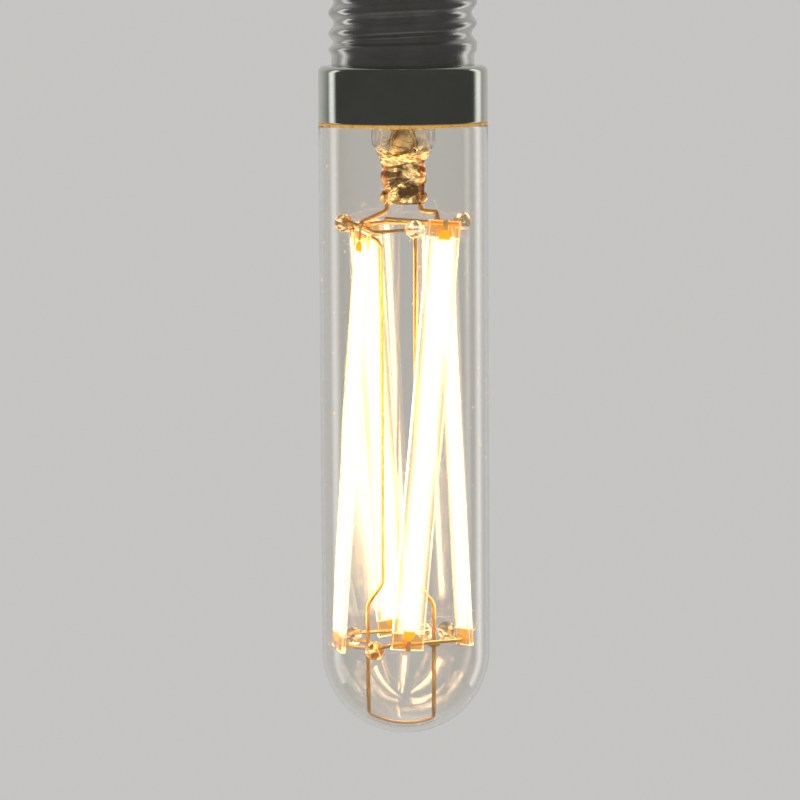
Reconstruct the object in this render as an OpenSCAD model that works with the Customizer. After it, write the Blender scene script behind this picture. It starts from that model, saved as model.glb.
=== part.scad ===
// A tubular LED filament lamp. A clear glass tube, closed by a dome below and cemented to a
// screw cap above, holds four flat filaments that stand in a twisted cage on bent wires.
// Millimetres, +Z up. The lamp hangs cap up, with its origin on the axis, at the outer
// face of the centre contact. Angles go round from the front, which is -Y, towards +X.

/* [Glass tube] */
// Outer diameter of the tube
tube_d = 30; // [28:0.5:33]
// Thickness of the glass wall
glass_wall = 0.9; // [0.7:0.1:1.2]
// Gap between the neck and the collar's wall, which the cement fills
neck_gap = 2.2; // [1.8:0.1:2.4]
// Length of the neck above the tube's shoulder
neck_length = 7.1; // [6.5:0.1:7.5]
// Hollow rounding between the neck and the shoulder
neck_fillet = 2.1; // [1:0.1:2.1]
// Rounding of the glass where the tube meets its shoulder
shoulder_rounding = 0.7; // [0.5:0.1:0.9]
// From the lowest filament end down to the bottom of the dome
end_room = 15.1; // [14.6:0.1:20]

/* [Cap] */
// From the centre contact down to the collar
screw_height = 25.5; // [24.5:0.1:28]
// Diameter over the crests of the thread
thread_d = 26.2; // [26:0.1:26.4]
// Length of the plain skirt between the thread and the collar
skirt_length = 2.6; // [2:0.1:3.2]
// How far the skirt, which passes through the collar, stands in from the crests
skirt_inset = 0.5; // [0.3:0.05:0.7]
// Thickness of the shell's sheet metal
shell_wall = 0.3; // [0.2:0.05:0.4]
// How far the flange that clamps the shell to the collar stands out from the skirt
flange_reach = 1.1; // [0.8:0.1:1.4]
// How far the collar stands out from the crests
collar_rim = 1.9; // [1.7:0.1:2.4]
// Height of the collar
collar_height = 10; // [9.5:0.1:12]
// Thickness of the collar's wall
collar_wall = 0.6; // [0.4:0.1:0.8]
// Rounding of the collar's upper edge
collar_rounding = 1.2; // [1:0.1:1.5]
// Gap at the collar's lip, which the cement fills
lip_gap = 0.1; // [0.1:0.05:0.3]
// Diameter of the centre contact's head
contact_d = 9.4; // [8.5:0.1:10]
// Thickness of the centre contact's head
contact_thickness = 1; // [0.8:0.1:1.3]
// Diameter of the centre contact's shank
contact_shank_d = 2.4; // [2:0.1:2.8]
// From the centre contact's face down to the insulator's underside
insulator_depth = 6.1; // [6:0.1:6.6]

/* [Stem] */
// Outer diameter of the stem tube
stem_d = 11.3; // [10.5:0.1:12]
// From the collar's lip down to where the stem tube begins to narrow
stem_reach = 4; // [3.5:0.1:6]
// Length over which the tube narrows to the press
stem_taper = 2.8; // [2.4:0.1:3.5]
// Length of the flat press
press_length = 7.8; // [7.4:0.1:9]
// Width of the press
press_w = 8.1; // [7.6:0.1:9]
// Thickness of the press
press_thickness = 4.2; // [3.8:0.1:5]
// Outer diameter of the exhaust tube
exhaust_d = 3; // [2.6:0.1:3.2]
// Wall of the exhaust tube
exhaust_wall = 0.6; // [0.4:0.05:0.7]
// Height of the exhaust tube's sealed tip above the collar's lip
exhaust_tip = 11.5; // [10:0.1:12]

/* [Filaments] */
// Length of each glass strip
strip_length = 76; // [60:1:90]
// Width of each glass strip
strip_w = 6; // [5:0.1:6]
// Thickness of each glass strip
strip_thickness = 0.8; // [0.6:0.05:1]
// Width of the phosphor coat over the chips
phosphor_w = 2.3; // [1.8:0.1:2.8]
// Thickness of the phosphor coat
phosphor_thickness = 0.6; // [0.4:0.05:0.8]
// From a strip's upper end to the phosphor
phosphor_from_top = 1.6; // [1.5:0.1:4]
// From a strip's lower end to the phosphor
phosphor_from_bottom = 1.7; // [1.5:0.1:4]
// Width of the metal clip on each end
clip_w = 0.95; // [0.7:0.05:1.2]
// Thickness of the clip's metal
clip_thickness = 0.15; // [0.1:0.01:0.2]

/* [Cage] */
// From the collar's lip down to the upper ends of the strips
cage_drop = 18.1; // [17.5:0.1:20]
// From the tube's inner wall in to the strips' upper ends
upper_end_gap = 4.1; // [3.7:0.1:4.5]
// Gap between the tube's inner wall and the outermost lower corner of the strips
corner_gap = 0.05; // [0.05:0.05:0.5]
// Angle by which each strip turns round the axis from its lower end to its upper
cage_twist = 45; // [40:1:48]
// Sideways lean of the cage at its lower end
cage_lean = -0.85; // [-0.9:0.05:0]
// Hand-bent turn of each lower end in degrees, from the front strip round by the right
lower_turn = [5, 0, 8, 0];
// Hand-set height of each strip above the mean
strip_lift = [1.1, 0, 0, -0.8];

/* [Wires and beads] */
// Diameter of the ring and cross wires
ring_wire_d = 0.65; // [0.5:0.05:0.7]
// Diameter of the long support wire
support_wire_d = 0.75; // [0.6:0.05:0.85]
// Diameter of the leads below the press
lead_d = 0.85; // [0.7:0.05:0.9]
// Diameter of the seal wires inside the press
seal_wire_d = 0.5; // [0.4:0.05:0.6]
// Diameter of the leads above the press
outer_lead_d = 0.45; // [0.35:0.05:0.55]
// Distance between the two leads in the press
lead_spacing = 5.8; // [5.2:0.1:6]
// Diameter of the glass beads
bead_d = 3.3; // [3.1:0.05:3.5]
// From the tube's inner wall in to the centres of the lower beads
lower_bead_gap = 3.1; // [2.8:0.1:3.4]
// Depth to which a wire's end is fused into a bead
bead_bite = 1; // [0.8:0.05:1.1]
// Inner radius of the wires' bends
wire_bend_r = 0.9; // [0.6:0.1:1.1]
// Radius of the wide bends of the support wire
support_bend_r = 2.2; // [1.5:0.1:2.6]
// From each strip's upper end down to its wire. The left strip hangs below its wire
upper_wire_inset = [0.45, 0.45, 0.45, -0.5]; // [-1:0.05:1]
// From a strip's lower end to the wire behind it
lower_wire_inset = 1; // [0.8:0.05:1.4]

/* [Driver] */
// Width of the circuit board
board_w = 19; // [18:0.5:20]
// Height of the circuit board
board_h = 13.8; // [13.5:0.1:14.5]
// Thickness of the circuit board
board_thickness = 1; // [0.8:0.1:1.6]
// Diameter of the smoothing capacitor
capacitor_d = 8; // [6.3:0.1:8.2]
// Length of the smoothing capacitor
capacitor_length = 10; // [8:0.1:10.5]
// Diameter of the choke's flanges
choke_d = 6; // [5:0.1:6.5]
// Length of the choke
choke_length = 6.5; // [5:0.1:7]
// Diameter of the fusible resistor's body
resistor_d = 2.3; // [1.8:0.1:2.5]

/* [Hidden] */

// Gap between pieces that are fused, soldered or cemented
seat = 0.03;
$fn = 64;
wire_sides = 10;
bend_steps = 5;

// Levels, from the contact down
contact_z = -contact_thickness;
shell_rim_z = -3.2;
shell_shoulder_r = 1.2;
shell_shoulder_z = shell_rim_z - 1.75;
insulator_end_z = -insulator_depth;
shank_end_z = insulator_end_z + 0.5;
thread_end_z = -screw_height + skirt_length;
skirt_top_z = thread_end_z - 0.8;
collar_top_z = -screw_height;
lip_z = collar_top_z - collar_height;
flange_z = collar_top_z - collar_wall - seat;
glass_shoulder_z = lip_z - lip_gap;
tube_top_z = glass_shoulder_z - shoulder_rounding;
neck_top_z = glass_shoulder_z + neck_length;
stem_taper_z = lip_z - stem_reach;
press_top_z = stem_taper_z - stem_taper;
press_end_z = press_top_z - press_length;
cage_top_z = lip_z - cage_drop;

// Radii of the cap and the glass, from the thread out to the collar and in to the neck
thread_r = thread_d / 2;
skirt_r = thread_r - skirt_inset;
flange_r = skirt_r + flange_reach;
collar_r = thread_r + collar_rim;
collar_bore_r = collar_r - collar_wall;
neck_r = collar_bore_r - neck_gap;
neck_bore_r = neck_r - glass_wall;
tube_r = tube_d / 2;
bore_r = tube_r - glass_wall;
stem_r = stem_d / 2;
stem_bore_r = stem_r - glass_wall;
bead_r = bead_d / 2;
wire_r = ring_wire_d / 2;
support_r = support_wire_d / 2;

// The shoulder between neck and tube: a hollow rounding, a flat and an outer rounding
shoulder = [tube_r - shoulder_rounding, tube_top_z];
hollow_r = min(neck_fillet, shoulder.x - neck_r);
hollow = [neck_r + hollow_r, glass_shoulder_z + hollow_r];

// The cage is laid out from the ends of its four strips
cage_upper_r = bore_r - upper_end_gap;
corner_across = strip_w / 2 * cos(cage_twist / 2);
corner_out = strip_w / 2 * sin(cage_twist / 2) + strip_thickness / 2;
cage_lower_r = sqrt((bore_r - corner_gap) ^ 2 - corner_across ^ 2) - corner_out + cage_lean;
function around(angle, r, z) = [r * sin(angle), -r * cos(angle), z];
function unit(v) = v / norm(v);
function upper_angle(k) = 90 * k + cage_twist;
function lower_angle(k) = 90 * k + lower_turn[k];
function upper_end(k) = around(upper_angle(k), cage_upper_r, cage_top_z + strip_lift[k]);
function lower_end_at(k, z) = around(lower_angle(k), cage_lower_r, z) + [cage_lean, 0, 0];
function flat_distance(a, b) = norm([a.x - b.x, a.y - b.y]);
function strip_fall(k) =
    sqrt(strip_length ^ 2 - flat_distance(upper_end(k), lower_end_at(k, 0)) ^ 2);
function lower_end(k) = lower_end_at(k, upper_end(k).z - strip_fall(k));

// Each strip's own axes: along it, out from the lamp's axis, and across it
function strip_up(k) = unit(upper_end(k) - lower_end(k));
function middle_angle(k) = (upper_angle(k) + lower_angle(k)) / 2;
function strip_out(k) =
    let (out = around(middle_angle(k), 1, 0), up = strip_up(k)) unit(out - (out * up) * up);
function strip_across(k) = cross(strip_up(k), strip_out(k));
function on_strip(k, across, out, up) =
    (upper_end(k) + lower_end(k)) / 2
    + across * strip_across(k) + out * strip_out(k) + up * strip_up(k);
module to_strip(k) {
    x = strip_across(k);
    y = strip_out(k);
    z = strip_up(k);
    o = on_strip(k, 0, 0, 0);
    multmatrix([[x.x, y.x, z.x, o.x], [x.y, y.y, z.y, o.y], [x.z, y.z, z.z, o.z]])
        children();
}

// The ring wires pass behind the strips, near their ends
behind_strip = -strip_thickness / 2 - seat - wire_r;
function upper_wire_up(k) = strip_length / 2 - upper_wire_inset[k];
lower_wire_up = -strip_length / 2 + lower_wire_inset;
clip_half = clip_w / 2 + 0.8;
past_strip = strip_w / 2 + 0.5;
function upper_wire_at(k, across) = on_strip(k, across, behind_strip, upper_wire_up(k));
function lower_wire_at(k, across) = on_strip(k, across, behind_strip, lower_wire_up);

// Lowest level of the cage, from which the dome is set
cage_end_z = min([for (k = [0:3]) lower_end(k).z]);
dome_end_z = cage_end_z - end_room;
dome_z = dome_end_z + tube_r;
mean_lower_z = (lower_end(0).z + lower_end(1).z + lower_end(2).z + lower_end(3).z) / 4;

// Bead centres
function side_bead(k) = on_strip(k, -strip_w / 2 - 2.6, 1.4, upper_wire_up(k) + 0.05);
upper_right_bead = side_bead(1);
upper_left_bead = side_bead(3);
upper_front_bead =
    on_strip(0, -strip_w / 2 - 0.6 - bead_r, behind_strip + 0.35, upper_wire_up(0) - bead_r + 0.1);
lower_bead_z = mean_lower_z + 0.6;
lower_bead_r = bore_r - lower_bead_gap;
lower_front_left_bead = around(-29.4, lower_bead_r, lower_bead_z);
lower_left_bead = around(-119.4, lower_bead_r, lower_bead_z);
lower_right_bead = around(136.8, lower_bead_r, lower_bead_z + 0.5);
lower_rear_bead = around(160.6, lower_bead_r, lower_bead_z);

// Ring wires enter a bead above its centre, support and cross wires below it
ring_aim = [0, 0, 0.35];
cross_aim = [0, 0, -0.5];
function into_bead(aim, from) = aim + unit(from - aim) * (bead_r - bead_bite);

// The long support wire
left_support_x = -4;
right_support_x = 1.9;
left_foot_x = -6.8;
right_foot_x = 5;
spread_top_z = mean_lower_z + 11.2;
spread_end_z = mean_lower_z + 7.4;
foot_arc_r = bore_r - support_r - seat;
function foot_at(x) = [x, 0, dome_z - sqrt(foot_arc_r ^ 2 - x ^ 2)];
left_foot_angle = asin(left_foot_x / foot_arc_r);
right_foot_angle = asin(right_foot_x / foot_arc_r);
foot_steps = 7;
foot_arc = [for (i = [1:foot_steps - 1])
    let (a = left_foot_angle + (right_foot_angle - left_foot_angle) * i / foot_steps)
    [foot_arc_r * sin(a), 0, dome_z - foot_arc_r * cos(a)]];
left_elbow = [left_support_x, upper_left_bead.y + 0.9, upper_left_bead.z - 3.4];
left_entry = into_bead(upper_left_bead + cross_aim, left_elbow);
right_entry = upper_front_bead - [0, 0, bead_r - bead_bite];
right_shoulder = [upper_front_bead.x, upper_front_bead.y, upper_front_bead.z - 3.2];
support_path = concat(
    [left_entry, left_elbow,
     [left_support_x, -0.3, spread_top_z],
     [left_foot_x, 0, spread_end_z],
     foot_at(left_foot_x)],
    foot_arc,
    [foot_at(right_foot_x),
     [right_foot_x, 0, spread_end_z],
     [right_support_x, -0.3, spread_top_z],
     right_shoulder, right_entry]);

// Ring wires
front_stub = upper_wire_at(0, -strip_w / 2 - 8);
upper_front_path = [
    front_stub, upper_wire_at(0, past_strip),
    into_bead(upper_right_bead + ring_aim, upper_wire_at(0, past_strip))];
upper_rear_path = [
    into_bead(upper_right_bead + ring_aim, upper_wire_at(1, -past_strip)),
    upper_wire_at(1, -past_strip), upper_wire_at(1, past_strip),
    upper_wire_at(2, -past_strip), upper_wire_at(2, past_strip),
    into_bead(upper_left_bead + ring_aim, upper_wire_at(2, past_strip))];
upper_left_path = [
    into_bead(upper_left_bead + ring_aim, upper_wire_at(3, -past_strip)),
    upper_wire_at(3, -past_strip), upper_wire_at(3, past_strip),
    into_bead(upper_front_bead, upper_wire_at(3, past_strip))];
lower_front_path = [
    into_bead(lower_front_left_bead + ring_aim, lower_wire_at(0, -clip_half)),
    lower_wire_at(0, -clip_half), lower_wire_at(0, clip_half),
    lower_wire_at(1, -clip_half), lower_wire_at(1, past_strip),
    into_bead(lower_right_bead + ring_aim, lower_wire_at(1, past_strip))];
through_bead = unit(lower_wire_at(2, clip_half) - lower_wire_at(3, -clip_half));
through_half = bead_r + 0.5;
lower_left_centre = lower_left_bead + ring_aim;
lower_rear_path = [
    into_bead(lower_front_left_bead + ring_aim, lower_wire_at(3, clip_half)),
    lower_wire_at(3, clip_half), lower_wire_at(3, -clip_half),
    lower_left_centre - through_half * through_bead,
    lower_left_centre + through_half * through_bead,
    lower_wire_at(2, clip_half), lower_wire_at(2, -clip_half),
    into_bead(lower_rear_bead + ring_aim, lower_wire_at(2, -clip_half))];

// Cross wires lie against the feet of the support wire
beside = support_r + wire_r + seat;
beside_foot = [left_foot_x + beside, 0, lower_bead_z];
cross_turn = turn(lower_front_left_bead, beside_foot, lower_left_bead);
corner_cut = (wire_bend_r + wire_r) * (1 / cos(cross_turn / 2) - 1) + 2 * seat;
left_crossing = beside_foot + [corner_cut, 0, cross_aim.z];
left_cross_path = [
    into_bead(lower_front_left_bead + cross_aim, left_crossing), left_crossing,
    into_bead(lower_left_bead + cross_aim, left_crossing)];
right_crossing = [right_foot_x + beside, -0.9, lower_bead_z + cross_aim.z];
rear_crossing = [right_foot_x - beside, -0.9, lower_bead_z + cross_aim.z];

// Leads
lead_x = lead_spacing / 2;
seal_top_z = press_top_z - 0.3;
seal_end_z = seal_top_z - 3.8;
lead_top_z = seal_end_z - seat;
lead_bend_z = press_end_z - 1.1;
over_wire = [0, 0, wire_r + lead_d / 2 + seat];
left_landing = upper_wire_at(3, -strip_w / 2 + 0.4) + over_wire;
right_landing = upper_wire_at(0, -clip_w / 2 - lead_d / 2 - 0.1) + over_wire;
left_lead_path = [
    [-lead_x, 0, lead_top_z], [-lead_x, 0, lead_bend_z],
    left_landing + [1.6, 2.6, 0.5], left_landing];
right_lead_path = [
    [lead_x, 0, lead_top_z], [lead_x, 0, lead_bend_z],
    right_landing + [-0.1, 0.9, 1], right_landing];

// Driver
hookup_d = 0.5;
board_front_y = 1.5;
board_top_z = insulator_end_z - seat;
board_end_z = board_top_z - board_h;
capacitor_at = [capacitor_d / 2 + 0.9, board_front_y - 1 - capacitor_d / 2];
capacitor_top_z = board_top_z - 2.6;
choke_at = [-5.4, board_front_y - 1.2 - choke_d / 2];
choke_top_z = board_top_z - 5.6;
resistor_z = board_top_z - 2.4;
pad_x = 1.6;
pad_z = board_end_z + 0.9;

// Points of an arc, from one angle to another
function arc(centre, r, from, to, steps = 6) = [for (i = [0:steps])
    let (a = from + (to - from) * i / steps) centre + r * [cos(a), sin(a)]];

// A wire's path with each corner rounded to the bend radius. A slight turn stays as it is
function turn(a, b, c) = acos(max(-1, min(1, unit(b - a) * unit(c - b))));
function corner(a, b, c, r) =
    let (t = turn(a, b, c))
    t < 12 ? [b] :
    let (back = unit(a - b), on = unit(c - b),
         reach = min(r * tan(t / 2), 0.48 * norm(a - b), 0.48 * norm(c - b)),
         bend = reach / tan(t / 2),
         centre = b + unit(back + on) * bend / cos(t / 2),
         p = b + back * reach - centre,
         q = b + on * reach - centre,
         steps = max(2, ceil(t / 90 * bend_steps)))
    [for (i = [0:steps])
        centre + (sin(t * (1 - i / steps)) * p + sin(t * i / steps) * q) / sin(t)];
function rounded(path, r) = [
    path[0],
    for (i = [1:len(path) - 2]) each corner(path[i - 1], path[i], path[i + 1], r),
    path[len(path) - 1]];

// A wire of round section bent along a path. Each ring of points is carried along the wire
// to the plane that halves the next corner, which keeps the section true
function any_side(d) = unit(cross(d, abs(d.z) < 0.8 ? [0, 0, 1] : [1, 0, 0]));
function first_ring(p, d, r) =
    let (s = any_side(d), t = cross(d, s))
    [for (i = [0:wire_sides - 1])
        let (a = 360 * i / wire_sides) p + r * (cos(a) * s + sin(a) * t)];
function carried(ring, d, p, n) = [for (q = ring) q + d * (((p - q) * n) / (d * n))];
module bent_wire(corners, d, bend_r = wire_bend_r) {
    path = rounded(corners, bend_r + d / 2);
    last = len(path) - 1;
    way = [for (i = [0:last - 1]) unit(path[i + 1] - path[i])];
    rings = [for (i = 0, ring = first_ring(path[0], way[0], d / 2);
                  i <= last;
                  ring = i < last ? carried(ring, way[i], path[i + 1],
                         i + 1 < last ? unit(way[i] + way[i + 1]) : way[i]) : ring,
                  i = i + 1) ring];
    n = wire_sides;
    faces = concat(
        [for (i = [0:last - 1], j = [0:n - 1]) each [
            [i * n + j, (i + 1) * n + j, i * n + (j + 1) % n],
            [i * n + (j + 1) % n, (i + 1) * n + j, (i + 1) * n + (j + 1) % n]]],
        [for (j = [1:n - 2]) [0, j, j + 1]],
        [for (j = [1:n - 2]) [last * n, last * n + j + 1, last * n + j]]);
    polyhedron([for (ring = rings) each ring], faces);
}

// A straight round rod from one point to another
module rod(a, b, r) {
    d = b - a;
    translate(a)
        rotate([0, acos(d.z / norm(d)), atan2(d.y, d.x)])
            cylinder(h = norm(d), r = r);
}

// A bead with a socket from each aim point out towards where its wire comes from
module bead(centre, sockets) {
    difference() {
        translate(centre) sphere(r = bead_r);
        for (s = sockets) {
            aim = s[0];
            way = unit(s[1] - aim);
            rod(aim + way * (bead_r - bead_bite - seat), aim + way * bead_d, s[2] + seat);
        }
    }
}

// A solid through rounded rectangular sections, each given as height, half width,
// half depth and corner radius
loft_sides = 32;
function section(s) = [for (i = [0:loft_sides - 1])
    let (a = 360 * (i + 0.5) / loft_sides,
         cx = s[1] - s[3],
         cy = s[2] - s[3])
    [sign(cos(a)) * cx + s[3] * cos(a), sign(sin(a)) * cy + s[3] * sin(a), s[0]]];
module loft(sections) {
    n = loft_sides;
    last = len(sections) - 1;
    faces = concat(
        [for (i = [0:last - 1], j = [0:n - 1]) each [
            [i * n + j, i * n + (j + 1) % n, (i + 1) * n + j],
            [i * n + (j + 1) % n, (i + 1) * n + (j + 1) % n, (i + 1) * n + j]]],
        [for (j = [1:n - 2]) [0, j + 1, j]],
        [for (j = [1:n - 2]) [last * n, last * n + j, last * n + j + 1]]);
    polyhedron([for (s = sections) each section(s)], faces);
}

// Glass
module glass_envelope() {
    inner_r = hollow_r + glass_wall;
    inner_end = -90 - asin(max(0, hollow.x - bore_r) / inner_r);
    color("lightyellow", 0.35) rotate_extrude() {
        polygon(concat(
            [[neck_bore_r, neck_top_z], [neck_bore_r, hollow.y]],
            arc(hollow, inner_r, -180, inner_end),
            bore_r > hollow.x ? [[bore_r, hollow.y - inner_r]] : [],
            [[bore_r, dome_z], [tube_r, dome_z]],
            arc(shoulder, shoulder_rounding, 0, 90),
            arc(hollow, hollow_r, -90, -180),
            [[neck_r, neck_top_z]]));
        translate([0, dome_z]) intersection() {
            difference() {
                circle(r = tube_r);
                circle(r = bore_r);
            }
            translate([0, -tube_d]) square(tube_d);
        }
    }
}
module stem() {
    rim_z = neck_top_z + seat;
    flare_z = rim_z - 5.5;
    outer = [
        [rim_z + 0.9, neck_r, neck_r, neck_r],
        [rim_z, neck_r, neck_r, neck_r],
        [rim_z, neck_bore_r - 0.15, neck_bore_r - 0.15, neck_bore_r - 0.15],
        [rim_z - 0.35, neck_bore_r - 0.5, neck_bore_r - 0.5, neck_bore_r - 0.5],
        for (t = [0.25:0.25:1])
            let (r = stem_r + (neck_bore_r - 0.9 - stem_r) * (1 - t) ^ 2)
            [rim_z - 0.6 + (flare_z - rim_z) * t, r, r, r],
        [stem_taper_z, stem_r, stem_r, stem_r],
        [stem_taper_z - stem_taper * 0.3, stem_r * 0.97, stem_r * 0.93, stem_r * 0.92],
        [stem_taper_z - stem_taper * 0.7, press_w / 2 + 0.5, press_thickness / 2 + 1, 2.4],
        [press_top_z, press_w / 2, press_thickness / 2, 1.5],
        [press_top_z - press_length * 0.45, press_w / 2 - 0.25, press_thickness / 2 - 0.1, 1.4],
        [press_end_z + 1.6, press_w / 2, press_thickness / 2 + 0.15, 1.6],
        [press_end_z + 0.5, press_w / 2 - 0.1, press_thickness / 2, 1.5],
        [press_end_z, press_w / 2 - 0.7, press_thickness / 2 - 0.6, 0.9]];
    bore = [
        [rim_z + 2, neck_bore_r - 0.2, neck_bore_r - 0.2, neck_bore_r - 0.2],
        for (t = [0:0.25:1])
            let (r = stem_bore_r + (neck_bore_r - 0.2 - stem_bore_r) * (1 - t) ^ 2)
            [rim_z + 0.6 + (flare_z - rim_z) * t, r, r, r],
        [stem_taper_z, stem_bore_r, stem_bore_r, stem_bore_r],
        [press_top_z + stem_taper * 0.45, press_w / 2 - 0.3, press_thickness / 2 + 0.5, 2.2],
        [press_top_z + 0.2, lead_x + 0.5, exhaust_d / 2 + 0.3, 1.5]];
    color("moccasin", 0.6) difference() {
        loft(outer);
        loft(bore);
        translate([0, 0, press_top_z - 1.2])
            cylinder(h = 5, r = exhaust_d / 2 + seat);
        translate([0, 0, press_top_z - 3])
            cylinder(h = 3, r = exhaust_d / 2 - exhaust_wall);
        translate([0, 0, press_top_z - 2.4])
            rotate([90, 0, 0]) cylinder(h = press_thickness, r = 0.5);
        for (side = [-1, 1]) translate([side * lead_x, 0, 0]) {
            translate([0, 0, seal_end_z]) cylinder(h = 6, r = seal_wire_d / 2 + seat);
            translate([0, 0, press_end_z - 1])
                cylinder(h = lead_top_z - press_end_z + 1 + seat, r = lead_d / 2 + seat);
        }
    }
}
module exhaust_tube() {
    tip_z = lip_z + exhaust_tip;
    r = exhaust_d / 2;
    bore = r - exhaust_wall;
    base_z = press_top_z - 1.2 + seat;
    color("moccasin", 0.6) rotate_extrude() polygon(concat(
        [[bore, base_z], [r, base_z]],
        arc([0, tip_z - r], r, 0, 90),
        arc([0, tip_z - r], bore, 90, 0)));
}

// Cap
module collar() {
    top = collar_top_z;
    hole_r = skirt_r + seat;
    bend = [collar_r - collar_rounding, top - collar_rounding];
    color("gainsboro") rotate_extrude() polygon(concat(
        [[hole_r, top]],
        arc(bend, collar_rounding, 90, 0),
        [[collar_r, lip_z], [collar_bore_r, lip_z]],
        arc(bend, collar_rounding - collar_wall, 0, 90),
        [[hole_r, top - collar_wall]]));
}
module collar_cement() {
    top = neck_top_z - 0.4;
    wall_r = collar_bore_r - seat;
    edge_r = tube_r - 0.02;
    color("goldenrod") rotate_extrude() intersection() {
        polygon(concat(
            [[neck_r + seat, top], [wall_r, top], [wall_r, lip_z - seat],
             [edge_r, lip_z - seat], [edge_r, glass_shoulder_z - 0.2]],
            arc(shoulder, shoulder_rounding + seat, 35, 90),
            arc(hollow, hollow_r - seat, -90, -180)));
        translate([0, shoulder.y]) square([collar_r - 0.02, top - shoulder.y]);
    }
}
module screw_shell() {
    r = thread_r;
    w = shell_wall;
    bend = [r - shell_shoulder_r, shell_shoulder_z];
    color("silver") rotate_extrude() polygon(concat(
        [[r - 2.8, shell_rim_z], [r - 1.6, shell_rim_z - 0.25]],
        arc(bend, shell_shoulder_r, 70, 0),
        [[r, thread_end_z], [skirt_r, skirt_top_z], [skirt_r, flange_z],
         [flange_r, flange_z], [flange_r, flange_z - w], [skirt_r - w, flange_z - w],
         [skirt_r - w, skirt_top_z], [r - w, thread_end_z]],
        arc(bend, shell_shoulder_r - w, 0, 70),
        [[r - 1.6, shell_rim_z - 0.25 - w], [r - 2.8, shell_rim_z - w]]));
}
module insulator() {
    r = thread_r - shell_wall - seat;
    rim_z = shell_rim_z - shell_wall - seat;
    seat_z = contact_z - seat;
    recess_r = contact_d / 2 + 0.3;
    bore = contact_shank_d / 2 + seat;
    boss = contact_shank_d / 2 + 1.6;
    hollow_z = contact_z - 2.6;
    color("dimgray") rotate_extrude() polygon(concat(
        [[bore, seat_z], [recess_r, seat_z], [recess_r, contact_z + 0.3],
         [recess_r + 0.7, contact_z + 0.3], [thread_r - 3.1, shell_rim_z + 0.1],
         [thread_r - 3.1, rim_z], [thread_r - 1.9, rim_z - 0.25]],
        arc([thread_r - shell_shoulder_r, shell_shoulder_z],
            shell_shoulder_r - shell_wall - seat, 70, 0, 3),
        [[r, insulator_end_z + 0.2], [r - 0.4, insulator_end_z], [r - 3, insulator_end_z],
         [recess_r + 0.2, hollow_z], [boss, hollow_z],
         [boss, insulator_end_z], [bore, insulator_end_z]]));
}
module centre_contact() {
    r = contact_d / 2;
    shank = contact_shank_d / 2;
    color("lightgray") rotate_extrude() polygon(concat(
        [[0, 0]],
        arc([r - 0.5, -0.5], 0.5, 90, 0, 3),
        [[r, contact_z], [shank, contact_z], [shank, shank_end_z], [0, shank_end_z]]));
}

// Support wire, ring wires, cross wires and leads
module support_wire() {
    color("darkgoldenrod") bent_wire(support_path, support_wire_d, support_bend_r);
}
module upper_wire_front() {
    color("darkgoldenrod") bent_wire(upper_front_path, ring_wire_d);
}
module upper_wire_rear() {
    color("darkgoldenrod") bent_wire(upper_rear_path, ring_wire_d);
}
module upper_wire_left() {
    color("darkgoldenrod") bent_wire(upper_left_path, ring_wire_d);
}
module lower_wire_front() {
    color("darkgoldenrod") bent_wire(lower_front_path, ring_wire_d);
}
module lower_wire_rear() {
    color("darkgoldenrod") bent_wire(lower_rear_path, ring_wire_d);
}
module cross_wires() {
    color("darkgoldenrod") {
        bent_wire(left_cross_path, ring_wire_d);
        rod(into_bead(lower_right_bead + cross_aim, right_crossing), right_crossing, wire_r);
        rod(into_bead(lower_rear_bead + cross_aim, rear_crossing), rear_crossing, wire_r);
    }
}
module left_lead() {
    color("darkkhaki") bent_wire(left_lead_path, lead_d);
}
module right_lead() {
    color("darkkhaki") bent_wire(right_lead_path, lead_d);
}
module seal_wire(side) {
    color("orangered") translate([side * lead_x, 0, seal_end_z])
        cylinder(h = seal_top_z - seal_end_z, d = seal_wire_d);
}
module left_seal_wire() {
    seal_wire(-1);
}
module right_seal_wire() {
    seal_wire(1);
}
module outer_lead(side) {
    color("silver") bent_wire([
        [side * lead_x, 0, seal_top_z + seat], [side * lead_x, 0, seal_top_z + 1],
        [side * 0.9, -exhaust_d / 2 - 0.8, lip_z + 1],
        [side * pad_x, -exhaust_d / 2 - 0.8, pad_z],
        [side * pad_x, board_front_y - seat, pad_z]], outer_lead_d);
}
module left_outer_lead() {
    outer_lead(-1);
}
module right_outer_lead() {
    outer_lead(1);
}

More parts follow.
